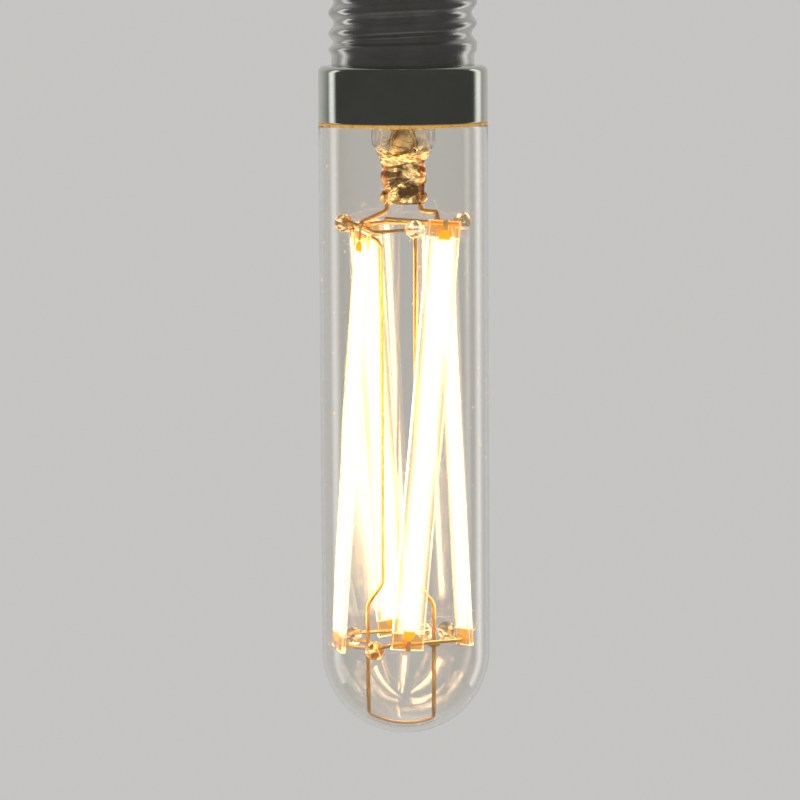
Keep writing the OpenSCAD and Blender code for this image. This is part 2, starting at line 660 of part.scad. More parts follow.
// Beads
module upper_beads() {
    color("wheat", 0.7) {
        difference() {
            bead(upper_front_bead, [
                [upper_front_bead, upper_wire_at(3, past_strip), wire_r],
                [upper_front_bead, upper_front_bead - [0, 0, 5], support_r]]);
            rod(front_stub, upper_wire_at(0, 0), wire_r + seat);
        }
        bead(upper_right_bead, [
            [upper_right_bead + ring_aim, upper_wire_at(0, past_strip), wire_r],
            [upper_right_bead + ring_aim, upper_wire_at(1, -past_strip), wire_r]]);
        bead(upper_left_bead, [
            [upper_left_bead + ring_aim, upper_wire_at(2, past_strip), wire_r],
            [upper_left_bead + ring_aim, upper_wire_at(3, -past_strip), wire_r],
            [upper_left_bead + cross_aim, left_elbow, support_r]]);
    }
}
module lower_beads() {
    color("wheat", 0.7) {
        bead(lower_front_left_bead, [
            [lower_front_left_bead + ring_aim, lower_wire_at(0, -clip_half), wire_r],
            [lower_front_left_bead + ring_aim, lower_wire_at(3, clip_half), wire_r],
            [lower_front_left_bead + cross_aim, left_crossing, wire_r]]);
        difference() {
            bead(lower_left_bead, [[lower_left_bead + cross_aim, left_crossing, wire_r]]);
            rod(lower_left_centre - bead_d * through_bead,
                lower_left_centre + bead_d * through_bead, wire_r + seat);
        }
        bead(lower_right_bead, [
            [lower_right_bead + ring_aim, lower_wire_at(1, past_strip), wire_r],
            [lower_right_bead + cross_aim, right_crossing, wire_r]]);
        bead(lower_rear_bead, [
            [lower_rear_bead + ring_aim, lower_wire_at(2, -clip_half), wire_r],
            [lower_rear_bead + cross_aim, rear_crossing, wire_r]]);
    }
}

// Filaments
module filament_strip(k) {
    color("khaki", 0.5) to_strip(k)
        cube([strip_w, strip_thickness, strip_length], center = true);
}
module filament_phosphor(k) {
    r = phosphor_w / 2;
    low = -strip_length / 2 + phosphor_from_bottom + r;
    high = strip_length / 2 - phosphor_from_top - r;
    color("gold") to_strip(k)
        translate([0, strip_thickness / 2 + seat + phosphor_thickness, 0])
            rotate([90, 0, 0]) linear_extrude(phosphor_thickness) {
                translate([-r, low]) square([phosphor_w, high - low]);
                for (end = [[low, -1], [high, 1]]) translate([0, end[0]]) intersection() {
                    circle(r = r);
                    translate([-r, end[1] < 0 ? -r : 0]) square([phosphor_w, r]);
                }
            }
}
// A ribbon from the phosphor's end, over the strip's end and round the wire behind it
module filament_clip(to_phosphor, to_wire) {
    front = strip_thickness / 2 + seat;
    back = -strip_thickness / 2 - ring_wire_d - 2 * seat;
    tip = strip_length / 2 + seat + max(0, wire_r - to_wire);
    front_end = strip_length / 2 + seat - to_phosphor + 0.1;
    back_end = strip_length / 2 + seat - to_wire - wire_r - 0.3;
    t = clip_thickness;
    translate([-clip_w / 2, 0, 0]) rotate([90, 0, 90]) linear_extrude(clip_w) polygon([
        [front, front_end], [front + t, front_end], [front + t, tip + t], [back - t, tip + t],
        [back - t, back_end], [back, back_end], [back, tip], [front, tip]]);
}
module filament_clips(k) {
    color("sienna") to_strip(k) {
        filament_clip(phosphor_from_top, upper_wire_inset[k]);
        mirror([0, 0, 1]) filament_clip(phosphor_from_bottom, lower_wire_inset);
    }
}

// Driver
module driver_board() {
    color("darkgreen") translate([-board_w / 2, board_front_y, board_end_z])
        cube([board_w, board_thickness, board_h]);
}
module chip(size, at, legs, pitch) {
    y = board_front_y + board_thickness + seat;
    translate([at.x, y, at.y]) {
        translate([-size.x / 2, 0.15, -size.z / 2]) cube(size);
        for (i = [0:legs - 1], side = [-1, 1])
            translate([(i - (legs - 1) / 2) * pitch - 0.2, 0, side > 0 ? size.z / 2 : -size.z / 2 - 1])
                cube([0.4, 0.2, 1]);
    }
}
module bridge_rectifier() {
    color("darkslategray") chip([4.7, 1.5, 3.9], [-4, board_top_z - 4.5], 2, 2.54);
}
module driver_chip() {
    color("darkslategray") chip([4.9, 1.5, 3.9], [3.4, board_top_z - 8.5], 4, 1.27);
}
module smoothing_capacitor() {
    r = capacitor_d / 2;
    low = capacitor_top_z - capacitor_length;
    color("midnightblue") {
        translate([capacitor_at.x, capacitor_at.y, 0]) rotate_extrude() polygon([
            [0, capacitor_top_z - 0.2], [r - 0.8, capacitor_top_z - 0.2],
            [r - 0.6, capacitor_top_z], [r - 0.3, capacitor_top_z],
            [r, capacitor_top_z - 0.3], [r, low + 1.6], [r - 0.35, low + 1.2],
            [r, low + 0.8], [r, low], [0, low]]);
        for (side = [-1, 1])
            bent_wire([
                [capacitor_at.x + side * 1.25, capacitor_at.y, low],
                [capacitor_at.x + side * 1.25, capacitor_at.y, low - 0.8],
                [capacitor_at.x + side * 1.25, board_front_y - seat, low - 0.8]], 0.5, 0.3);
    }
}
module choke_core() {
    r = choke_d / 2;
    h = choke_length;
    color("black") translate([choke_at.x, choke_at.y, choke_top_z - h]) rotate_extrude()
        polygon([[0, 0], [r, 0], [r, 1], [r / 2, 1], [r / 2, h - 1], [r, h - 1], [r, h], [0, h]]);
}
module choke_winding() {
    r = choke_d / 2;
    low = choke_top_z - choke_length;
    color("peru") {
        translate([choke_at.x, choke_at.y, low + 1 + seat]) difference() {
            cylinder(h = choke_length - 2 - 2 * seat, r = r - 0.3);
            translate([0, 0, -1]) cylinder(h = choke_length, r = r / 2 + seat);
        }
        for (side = [-1, 1])
            bent_wire([
                [choke_at.x + side * 1.2, choke_at.y + r - 1.2, low + choke_length / 2],
                [choke_at.x + side * 1.2, board_front_y - seat, low + choke_length / 2]], 0.3);
    }
}
module fusible_resistor() {
    x = -5.6;
    y = board_front_y - 0.6 - resistor_d / 2;
    half = 2.6;
    color("tan") {
        translate([x - half, y, resistor_z]) rotate([0, 90, 0])
            cylinder(h = 2 * half, d = resistor_d);
        for (side = [-1, 1])
            bent_wire([
                [x + side * half, y, resistor_z], [x + side * (half + 0.8), y, resistor_z],
                [x + side * (half + 0.8), board_front_y - seat, resistor_z]], 0.5, 0.2);
    }
}
module contact_wire() {
    color("orangered") bent_wire([
        [0, 0, shank_end_z - seat], [0, 0, resistor_z],
        [0, board_front_y - seat, resistor_z]], hookup_d, 0.3);
}
module shell_wire() {
    at_board = -board_w / 2 + 0.8;
    at_skirt = -skirt_r + shell_wall + seat + hookup_d / 2;
    color("royalblue") bent_wire([
        [at_board, board_front_y - seat, pad_z + 1], [at_board, board_front_y - 1.2, pad_z + 1],
        [at_skirt, 0, skirt_top_z - 0.4], [at_skirt, 0, collar_top_z - 0.2]], hookup_d, 0.5);
}

glass_envelope();
stem();
exhaust_tube();
collar();
collar_cement();
screw_shell();
insulator();
centre_contact();
support_wire();
left_lead();
right_lead();
left_seal_wire();
right_seal_wire();
left_outer_lead();
right_outer_lead();
upper_wire_front();
upper_wire_rear();
upper_wire_left();
lower_wire_front();
lower_wire_rear();
cross_wires();
upper_beads();
lower_beads();
for (k = [0:3]) {
    filament_strip(k);
    filament_phosphor(k);
    filament_clips(k);
}
driver_board();
bridge_rectifier();
driver_chip();
smoothing_capacitor();
choke_core();
choke_winding();
fusible_resistor();
contact_wire();
shell_wire();
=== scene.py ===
import math

import bmesh
import bpy
from bpy.props import (
    FloatProperty, FloatVectorProperty, IntProperty, IntVectorProperty, PointerProperty)
from mathutils import Matrix, Vector, noise


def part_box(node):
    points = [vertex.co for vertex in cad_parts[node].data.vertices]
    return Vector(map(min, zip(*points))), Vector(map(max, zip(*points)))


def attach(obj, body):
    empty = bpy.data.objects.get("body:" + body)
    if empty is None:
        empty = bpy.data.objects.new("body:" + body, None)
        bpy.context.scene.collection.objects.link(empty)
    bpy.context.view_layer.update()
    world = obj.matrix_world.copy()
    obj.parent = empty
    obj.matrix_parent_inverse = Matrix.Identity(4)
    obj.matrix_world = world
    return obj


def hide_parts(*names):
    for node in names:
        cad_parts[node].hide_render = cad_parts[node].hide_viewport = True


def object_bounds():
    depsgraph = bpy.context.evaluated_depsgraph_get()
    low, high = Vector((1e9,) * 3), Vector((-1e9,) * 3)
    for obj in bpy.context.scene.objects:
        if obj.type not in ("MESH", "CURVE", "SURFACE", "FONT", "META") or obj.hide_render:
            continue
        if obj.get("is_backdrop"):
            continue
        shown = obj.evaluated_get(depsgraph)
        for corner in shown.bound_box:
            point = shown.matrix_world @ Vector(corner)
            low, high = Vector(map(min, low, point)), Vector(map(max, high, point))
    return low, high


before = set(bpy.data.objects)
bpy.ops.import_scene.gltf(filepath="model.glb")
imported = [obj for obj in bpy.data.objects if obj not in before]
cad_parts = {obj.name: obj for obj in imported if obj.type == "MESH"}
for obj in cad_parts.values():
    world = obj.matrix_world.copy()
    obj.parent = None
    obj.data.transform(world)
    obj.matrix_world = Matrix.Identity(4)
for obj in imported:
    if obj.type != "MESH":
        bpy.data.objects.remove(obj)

bl_info = {
    "name": "Tubular Filament Lamp",
    "version": (1, 0, 0),
    "blender": (4, 5, 0),
    "location": "View3D > Sidebar > Lamp",
    "description": "Builds a tubular LED filament lamp piece by piece",
    "category": "Object",
}

CAD_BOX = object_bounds()
MM = 0.001
BODY = "root"
SEAT = 0.03 * MM

# Levels and radii that the construction model sets
LIP_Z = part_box("collar")[0].z
COLLAR_TOP_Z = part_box("collar")[1].z
COLLAR_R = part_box("collar")[1].x
TUBE_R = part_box("glass_envelope")[1].x
DOME_END_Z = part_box("glass_envelope")[0].z
NECK_TOP_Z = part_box("glass_envelope")[1].z
PRESS_END_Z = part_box("stem")[0].z
INSULATOR_END_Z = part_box("insulator")[0].z
BOARD_LOW, BOARD_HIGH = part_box("driver_board")
FRONT_Y = BOARD_LOW.y

# Places that several pieces share
SKIRT_TOP_Z = COLLAR_TOP_Z + 1.8 * MM
TAIL_Z = INSULATOR_END_Z - SEAT - 2.4 * MM
LEAD_PAD_X, LEAD_PAD_Z = 1.6 * MM, BOARD_LOW.z + 0.9 * MM
SHELL_PAD_X, SHELL_PAD_Z = 0.8 * MM - BOARD_HIGH.x, BOARD_LOW.z + 1.9 * MM

# A distance under which two points count as one
TOUCHING = 1e-7


def length(name, description, default):
    """A length in millimetres that a user may change, stored in metres."""
    return FloatProperty(name=name, description=description, default=default * MM, min=0.0,
                         subtype="DISTANCE", unit="LENGTH", precision=5)


def number(name, description, default, **more):
    """A plain number, or a length that may be negative."""
    return FloatProperty(name=name, description=description, default=default, **more)


def angle(name, description, default):
    """An angle in degrees, stored in radians."""
    return FloatProperty(name=name, description=description, default=math.radians(default),
                         subtype="ANGLE", unit="ROTATION")


def colour(name, description, default):
    """A scene-linear colour."""
    return FloatVectorProperty(name=name, description=description, default=default, size=3,
                               min=0.0, max=1.0, subtype="COLOR")


class GlassSizes(bpy.types.PropertyGroup):
    """Sizes of the tube, the stem and the beads."""
    wall: length("Wall", "Thickness of the tube's wall", 0.9)
    neck_r: length("Neck radius", "Outer radius of the neck inside the collar", 12.2)
    neck_fillet: length("Neck fillet", "Hollow rounding between neck and shoulder", 2.1)
    shoulder_rounding: length("Shoulder rounding", "Rounding at the tube's shoulder", 0.7)
    lip_gap: length("Lip gap", "Gap between the collar's lip and the shoulder", 0.1)
    stem_r: length("Stem radius", "Outer radius of the stem tube", 5.65)
    stem_reach: length("Stem reach", "From the collar's lip to the end of the stem tube", 4.0)
    stem_taper: length("Stem taper", "Length over which the stem narrows", 2.8)
    press_w: length("Press width", "Width of the flat press", 8.1)
    press_thickness: length("Press thickness", "Thickness of the flat press", 4.2)
    exhaust_r: length("Exhaust radius", "Outer radius of the exhaust tube", 1.5)
    exhaust_wall: length("Exhaust wall", "Wall of the exhaust tube", 0.6)
    bead_r: length("Bead radius", "Radius of the glass beads", 1.65)
    lower_bead_gap: length("Bead gap", "From the tube's bore in to the lower beads", 3.1)
    specks: IntProperty(name="Specks", description="Tiny bubbles in the tube's wall",
                        default=130, min=0, max=400)


class CageSizes(bpy.types.PropertyGroup):
    """Sizes of the filaments and of the cage in which they stand."""
    strip_length: length("Strip length", "Length of each glass strip", 76.0)
    strip_w: length("Strip width", "Width of each glass strip", 6.0)
    strip_t: length("Strip thickness", "Thickness of each glass strip", 0.8)
    phosphor_w: length("Phosphor width", "Width of the phosphor coat", 2.3)
    phosphor_t: length("Phosphor thickness", "Height of the phosphor coat", 0.6)
    from_top: length("Bare top", "From the strip's upper end to the phosphor", 1.6)
    from_bottom: length("Bare bottom", "From the strip's lower end to the phosphor", 1.7)
    clip_w: length("Clip width", "Width of the metal clip on each end", 0.95)
    clip_t: length("Clip thickness", "Thickness of the clip's metal", 0.15)
    drop: length("Cage drop", "From the collar's lip to the strips' upper ends", 18.1)
    upper_gap: length("Upper gap", "From the bore in to the strips' upper ends", 4.1)
    corner_gap: length("Corner gap", "From the bore to the outermost lower corner", 0.05)
    lean: length("Lean", "Sideways lean of the cage towards the left at its foot", 0.85)
    twist: angle("Twist", "Turn of each strip round the axis", 45.0)
    turn: IntVectorProperty(name="Hand turn", description="Turn of each lower end in degrees",
                            default=(5, 0, 8, 0), size=4)
    lift: FloatVectorProperty(name="Hand lift", description="Height of each strip over the mean",
                              default=(1.1 * MM, 0, 0, -0.8 * MM), size=4, unit="LENGTH")
    ring_r: length("Ring wire radius", "Radius of the ring and cross wires", 0.325)
    support_r: length("Support wire radius", "Radius of the long support wire", 0.375)
    lead_r: length("Lead radius", "Radius of the leads below the press", 0.425)
    seal_r: length("Seal wire radius", "Radius of the seal wires in the press", 0.25)
    outer_lead_r: length("Outer lead radius", "Radius of the leads above the press", 0.225)
    lead_spacing: length("Lead spacing", "Distance between the leads in the press", 5.8)
    bite: length("Bead bite", "Depth to which a wire is fused into a bead", 1.0)
    bend: length("Bend", "Inner radius of the ring wires' bends", 0.9)
    support_bend: length("Support bend", "Inner radius of the support wire's wide bends", 2.2)
    upper_inset: FloatVectorProperty(
        name="Upper inset", description="From each strip's upper end down to its wire",
        default=(0.45 * MM, 0.45 * MM, 0.45 * MM, -0.5 * MM), size=4, unit="LENGTH")
    lower_inset: length("Lower inset", "From a strip's lower end to the wire behind it", 1.0)


class CapSizes(bpy.types.PropertyGroup):
    """Sizes of the collar and the screw cap."""
    thread_r: length("Thread radius", "Radius over the crests", 13.1)
    thread_depth: length("Thread depth", "Depth from crest to root", 0.95)
    pitch: length("Pitch", "Pitch of the thread", 3.629)
    skirt_r: length("Skirt radius", "Radius of the skirt below the thread", 12.6)
    skirt_length: length("Skirt length", "Length of the skirt", 2.6)
    flange_r: length("Flange radius", "Radius of the flange under the collar", 13.7)
    shell_wall: length("Shell wall", "Thickness of the shell", 0.3)
    shell_rim: length("Shell rim", "From the contact to the shell's rim", 3.2)
    collar_wall: length("Collar wall", "Thickness of the collar", 0.6)
    collar_rounding: length("Collar rounding", "Rounding of the collar's upper edge", 1.2)
    contact_r: length("Contact radius", "Radius of the centre contact's head", 4.7)
    contact_t: length("Contact thickness", "Thickness of the head", 1.0)
    shank_r: length("Shank radius", "Radius of the contact's shank", 1.2)


class DriverSizes(bpy.types.PropertyGroup):
    """Sizes of what stands on the circuit board."""
    capacitor_r: length("Capacitor radius", "Radius of the smoothing capacitor", 4.0)
    capacitor_h: length("Capacitor length", "Length of the smoothing capacitor", 10.0)
    choke_r: length("Choke radius", "Radius of the choke's flanges", 3.0)
    choke_h: length("Choke length", "Length of the choke", 6.5)
    turns: IntProperty(name="Turns", description="Turns in the choke's outer layer",
                       default=10, min=2, max=40)
    resistor_r: length("Resistor radius", "Radius of the fusible resistor", 1.15)
    hookup_r: length("Hook-up radius", "Radius of the insulated wires", 0.25)


class LampFinish(bpy.types.PropertyGroup):
    """Colours of the lamp's materials."""
    glass: colour("Glass", "Tint of the tube", (1.0, 0.985, 0.955))
    # The warm tints of the worked stem and of the beads are painted warm light from the filaments
    # over clear glass.
    stem: colour("Stem glass", "Tint of the flame-worked glass", (1.0, 0.76, 0.38))
    glass_deep: colour("Glass streaks", "Tint of the tube's streaks", (0.99, 0.965, 0.92))
    stem_deep: colour("Stem streaks", "Tint of the stem's streaks", (0.94, 0.56, 0.18))
    stem_clear: colour("Clear stem", "Tint of the glass above the press", (1.0, 0.96, 0.88))
    # Painted shade: the dark patches in the worked glass.
    stem_dark: colour("Stem shadows", "Tint of the darkest patches", (0.17, 0.085, 0.022))
    # Painted light: the glints and glow in the worked glass and in the beads.
    caught: colour("Caught light", "Light caught in the worked glass", (1.0, 0.66, 0.26))
    bead: colour("Bead", "Tint of the beads", (1.0, 0.90, 0.70))
    bead_deep: colour("Bead streaks", "Tint of the beads' streaks", (1.0, 0.76, 0.42))
    core: colour("Light", "Colour of the filament's light", (1.0, 0.70, 0.38))
    tip: colour("Filament tip", "Colour where the coat is thick and dim", (0.040, 0.021, 0.0008))
    strength: number("Strength", "Strength of the filament's light", 18.0, min=0.0)
    plate_glow: colour("Plate glow", "Light in the plates beside the coat", (1.0, 0.78, 0.52))
    plate_edge: colour("Plate edge", "Light at the plates' edges", (1.0, 0.84, 0.56))
    plate_end: colour("Plate end", "Light in the plates' ends", (0.13, 0.05, 0.008))
    plate_tint: colour("Plate tint", "Warm tint of the clear plates", (1.0, 0.87, 0.64))
    plate_amber: colour("Plate amber", "Deeper tint of the plates' ends", (0.98, 0.70, 0.36))
    # The wires' golden colour is partly painted warm light from the filaments.
    wire: colour("Wire", "Colour of the cage wires", (0.96, 0.63, 0.26))
    wire_stain: colour("Wire stain", "Darker colour on the wires", (0.72, 0.41, 0.13))
    tin: colour("Tin", "Colour of tinned wire", (0.66, 0.65, 0.62))
    nickel: colour("Nickel", "Colour of the collar's plate", (0.60, 0.62, 0.55))
    nickel_dull: colour("Dull nickel", "Colour of the collar's dull spots", (0.50, 0.52, 0.45))
    shell: colour("Shell", "Colour of the screw shell's plate", (0.66, 0.65, 0.62))
    shell_dull: colour("Dull shell", "Colour of the shell's dull spots", (0.48, 0.47, 0.44))
    contact: colour("Contact", "Colour of the centre contact", (0.66, 0.61, 0.50))
    contact_worn: colour("Worn contact", "Brass where the plate has worn", (0.60, 0.44, 0.20))
    cement: colour("Cement", "Colour of the capping cement", (0.66, 0.39, 0.10))
    cement_dark: colour("Dark cement", "Darker grains of the cement", (0.40, 0.21, 0.04))
    clip: colour("Clip", "Colour of the filaments' clips", (0.86, 0.56, 0.25))
    clip_dark: colour("Dark clip", "Colour of the clips' heated parts", (0.56, 0.31, 0.11))
    seal: colour("Seal wire", "Colour of the wire inside the press", (0.95, 0.30, 0.04))
    board: colour("Board", "Colour of the solder mask", (0.02, 0.16, 0.06))
    board_dark: colour("Dark board", "Colour over the board's copper", (0.012, 0.10, 0.04))


class StudioSettings(bpy.types.PropertyGroup):
    """The camera, the light and the floor."""
    distance: length("Distance", "From the camera to what it aims at", 700.0)
    elevation: angle("Elevation", "Angle at which the camera looks down", 6.804)
    roll: angle("Roll", "Turn of the camera about its own axis", -0.311)
    lens: number("Lens", "Focal length in millimetres", 176.86)
    aim_x: number("Aim across", "Where the camera aims, across", -0.823 * MM, unit="LENGTH")
    aim_z: number("Aim height", "Where the camera aims, in height", -85.0 * MM, unit="LENGTH")
    floor_drop: length("Floor drop", "From the bottom of the lamp to the floor", 350.0)
    backdrop: colour("Backdrop", "Colour of the floor and of the far background",
                     (0.56, 0.555, 0.54))
    front: number("Front", "How bright the room behind the camera is, against the backdrop",
                  0.12, min=0.0, max=1.0)
    ambience: number("Ambience", "Level of the light all round", 0.45, min=0.0)
    key: number("Key", "Power of the large light in watts", 4.2, min=0.0, unit="POWER")
    side: number("Side", "Power of each tall side light in watts", 0.4, min=0.0, unit="POWER")


# Plain geometry

def arc(centre, r, start, end, steps):
    """Points (radius, height) of an arc between two angles in degrees."""
    points = []
    for i in range(steps + 1):
        a = math.radians(start + (end - start) * i / steps)
        points.append((centre[0] + r * math.cos(a), centre[1] + r * math.sin(a)))
    return points


def neck_curves(g):
    """The centres of the shoulder's rounding and of the hollow over it, and the hollow's r."""
    shoulder_z = LIP_Z - g.lip_gap
    shoulder = (TUBE_R - g.shoulder_rounding, shoulder_z - g.shoulder_rounding)
    hollow_r = min(g.neck_fillet, shoulder[0] - g.neck_r)
    return shoulder, (g.neck_r + hollow_r, shoulder_z + hollow_r), hollow_r


def around(degrees, r, z):
    """A point at an angle from the front towards the right, at a radius and a height."""
    a = math.radians(degrees)
    return Vector((r * math.sin(a), -r * math.cos(a), z))


def upward(z):
    """A vector along the lamp's axis."""
    return Vector((0, 0, z))


def ease(t):
    """A smooth step from 0 to 1."""
    t = max(0.0, min(1.0, t))
    return t * t * (3.0 - 2.0 * t)


def new_object(name, mesh):
    """An object for a mesh, linked to the scene."""
    piece = bpy.data.objects.new(name, mesh)
    bpy.context.scene.collection.objects.link(piece)
    return piece


def mesh_from(name, bm, smooth_angle=40.0):
    """A finished mesh from a bmesh, with its doubles merged and its faces outwards."""
    bmesh.ops.remove_doubles(bm, verts=bm.verts, dist=TOUCHING)
    bmesh.ops.recalc_face_normals(bm, faces=bm.faces)
    if bm.calc_volume(signed=True) < 0:
        bmesh.ops.reverse_faces(bm, faces=bm.faces)
    mesh = bpy.data.meshes.new(name)
    bm.to_mesh(mesh)
    bm.free()
    mesh.shade_smooth()
    mesh.set_sharp_from_angle(angle=math.radians(smooth_angle))
    return mesh


def solid(name, bm, smooth_angle=40.0):
    """A new object with a finished mesh from a bmesh."""
    return new_object(name, mesh_from(name, bm, smooth_angle))


def rings_to_faces(bm, rings, closed):
    """Quads between rings of vertices. A ring of one vertex is a pole."""
    pairs = list(zip(rings, rings[1:]))
    if closed:
        pairs.append((rings[-1], rings[0]))
    for a, b in pairs:
        n = max(len(a), len(b))
        for j in range(n):
            k = (j + 1) % n
            corners = [a[j % len(a)], a[k % len(a)], b[k % len(b)], b[j % len(b)]]
            unique = list(dict.fromkeys(corners))
            if len(unique) > 2:
                bm.faces.new(unique)


def bar(bm, rings):
    """A closed bar through rings of points."""
    made = [[bm.verts.new(p) for p in ring] for ring in rings]
    rings_to_faces(bm, made, False)
    bm.faces.new(made[0])
    bm.faces.new(made[-1])


def revolved(name, profile, steps=96, closed=True, reshape=None, smooth_angle=40.0,
             place=None):
    """A solid of revolution about Z. The profile is a loop, or runs from pole to pole."""
    bm = bmesh.new()
    rings = []
    for r, z in profile:
        if r < TOUCHING:
            rings.append([bm.verts.new((0.0, 0.0, z))])
            continue
        ring = []
        for j in range(steps):
            a = 2 * math.pi * j / steps
            p = Vector((r * math.cos(a), r * math.sin(a), z))
            ring.append(bm.verts.new(reshape(p) if reshape else p))
        rings.append(ring)
    rings_to_faces(bm, rings, closed)
    made = solid(name, bm, smooth_angle)
    if place:
        made.data.transform(place)
    return made


def block(bm, size, matrix, bevel):
    """A bevelled block added to a bmesh."""
    made = bmesh.ops.create_cube(bm, size=1.0)["verts"]
    for v in made:
        v.co = Vector((v.co.x * size[0], v.co.y * size[1], v.co.z * size[2]))
    edges = list({e for v in made for e in v.link_edges})
    bevelled = bmesh.ops.bevel(bm, geom=edges, offset=bevel, segments=2, profile=0.5,
                               affect="EDGES")
    verts = {v for f in bevelled["faces"] for v in f.verts} | {v for v in made if v.is_valid}
    for v in verts:
        v.co = matrix @ v.co


def scattered(points):
    """A mesh of loose points."""
    mesh = bpy.data.meshes.new("points")
    mesh.from_pydata([tuple(p) for p in points], [], [])
    return mesh


# Node trees

def label(key):
    """A socket's or a group's name for the name of an argument or a function."""
    return key.replace("_", " ").title()


class Maker:
    """Makes the nodes of one tree. What feeds an input is a value, another node's output, or
    another node, which stands for its first output."""

    def __init__(self, tree):
        self.tree = tree

    def plug(self, socket, value):
        """Links an output to an input, or sets the input's own value."""
        if isinstance(value, bpy.types.Node):
            value = value.outputs[0]
        if isinstance(value, bpy.types.NodeSocket):
            self.tree.links.new(value, socket)
        elif socket.type == "RGBA":
            socket.default_value = (*value[:3], 1.0)
        else:
            socket.default_value = value

    def feed(self, node, values):
        """Feeds several inputs of a node."""
        for key, value in values.items():
            self.plug(node.inputs[key], value)
        return node

    def node(self, kind, values=None, **settings):
        """A node with its settings and with what feeds it."""
        node = self.tree.nodes.new(kind)
        for key, value in settings.items():
            setattr(node, key, value)
        return self.feed(node, values or {})

    def math(self, operation, *operands, clamp=False):
        """A sum of one to three operands."""
        return self.node("ShaderNodeMath", dict(enumerate(operands)), operation=operation,
                         use_clamp=clamp).outputs[0]

    def ramp(self, value, low, high, start=0.0, end=1.0):
        """A smooth step of a value from low to high."""
        return self.node("ShaderNodeMapRange", {
            "Value": value, "From Min": low, "From Max": high, "To Min": start, "To Max": end},
            interpolation_type="SMOOTHSTEP").outputs["Result"]

    def mix(self, factor, a, b, blend="MIX"):
        """A mix of two colours."""
        return self.node("ShaderNodeMix", {0: factor, 6: a, 7: b}, data_type="RGBA",
                         blend_type=blend).outputs[2]

    def noise(self, place, scale, **values):
        """A noise texture's value."""
        return self.node("ShaderNodeTexNoise", {"Vector": place, "Scale": scale, **values}
                         ).outputs["Fac"]

    def place(self):
        """The object's own coordinates."""
        return self.node("ShaderNodeTexCoord").outputs["Object"]

    def attribute(self, name, output="Fac"):
        """What a mesh stores under a name."""
        return self.node("ShaderNodeAttribute", attribute_name=name).outputs[output]

    def axes(self, vector):
        """A vector's three numbers."""
        return self.node("ShaderNodeSeparateXYZ", {"Vector": vector}).outputs

    def joined(self, x, y, z=0.0):
        """A vector of three numbers."""
        return self.node("ShaderNodeCombineXYZ", {"X": x, "Y": y, "Z": z})

    def group(self, build, values):
        """A shader group's outputs, with its own values for its inputs."""
        node = self.node("ShaderNodeGroup", node_tree=shader_group(build))
        return self.feed(node, values).outputs

    def relief(self, height, distance):
        """A normal that follows a height."""
        return self.node("ShaderNodeBump", {"Height": height, "Distance": distance,
                                            "Strength": 1.0})

    def stored(self, geometry, name, value):
        """Geometry that stores a number at each of its points."""
        return self.node("GeometryNodeStoreNamedAttribute", {
            "Geometry": geometry, "Name": name, "Value": value}, data_type="FLOAT",
            domain="POINT")

    def random(self, least, seed):
        """A random number between a least one and one."""
        return self.node("FunctionNodeRandomValue", {2: least, 3: 1.0, "Seed": seed},
                         data_type="FLOAT").outputs[1]

    def blended(self, factor, first, second, out="Material Output"):
        """Ends a tree in a mix of two shaders."""
        mix = self.node("ShaderNodeMixShader", {0: factor, 1: first, 2: second})
        self.feed(self.tree.nodes[out], {"Surface": mix})


def add_inputs(tree, build):
    """Makes a function's arguments that have defaults the inputs of a tree."""
    last = build.__code__.co_argcount
    keys = build.__code__.co_varnames[last - len(build.__defaults__):last]
    for key, value in zip(keys, build.__defaults__):
        kind = {float: "Float", int: "Int"}.get(type(value))
        kind = kind or ("Color" if len(value) == 4 else "Vector")
        socket = tree.interface.new_socket(label(key), in_out="INPUT",
                                           socket_type="NodeSocket" + kind)
        socket.default_value = value
    return [label(key) for key in keys]


def geometry_tree(build):
    """The geometry tree that a function describes, built the first time it is asked for. It
    ends in Shade Smooth, Realize Instances and Set Material."""
    name = label(build.__name__)
    if name in bpy.data.node_groups:
        return bpy.data.node_groups[name]
    tree = bpy.data.node_groups.new(name, "GeometryNodeTree")
    new_socket = tree.interface.new_socket
    new_socket("Geometry", in_out="INPUT", socket_type="NodeSocketGeometry")
    labels = add_inputs(tree, build)
    new_socket("Material", in_out="INPUT", socket_type="NodeSocketMaterial")
    new_socket("Geometry", in_out="OUTPUT", socket_type="NodeSocketGeometry")
    given = tree.nodes.new("NodeGroupInput").outputs
    t = Maker(tree)
    made = build(t, given["Geometry"], *(given[name] for name in labels))
    smooth = t.node("GeometryNodeSetShadeSmooth", {"Geometry": made})
    real = t.node("GeometryNodeRealizeInstances", {"Geometry": smooth})
    paint = t.node("GeometryNodeSetMaterial", {"Geometry": real, "Material": given["Material"]})
    t.node("NodeGroupOutput", {"Geometry": paint})
    return tree


def drawn_wire(t, path, radius=0.3 * MM, bend_radius=1.0 * MM, bend_steps=10, sides=20):
    """A round wire bent along a path, with its corners rounded."""
    curve = t.node("GeometryNodeMeshToCurve", {"Mesh": path})
    bent = t.node("GeometryNodeFilletCurve", {
        "Curve": curve, "Count": bend_steps, "Radius": bend_radius, "Limit Radius": True},
        mode="POLY")
    length_so_far = t.node("GeometryNodeSplineParameter").outputs["Length"]
    circle = t.node("GeometryNodeCurvePrimitiveCircle", {"Resolution": sides, "Radius": radius},
                    mode="RADIUS")
    turn = t.node("GeometryNodeSplineParameter").outputs["Factor"]
    return t.node("GeometryNodeCurveToMesh", {
        "Curve": t.stored(bent, "along", length_so_far),
        "Profile Curve": t.stored(circle, "round", turn), "Fill Caps": True})


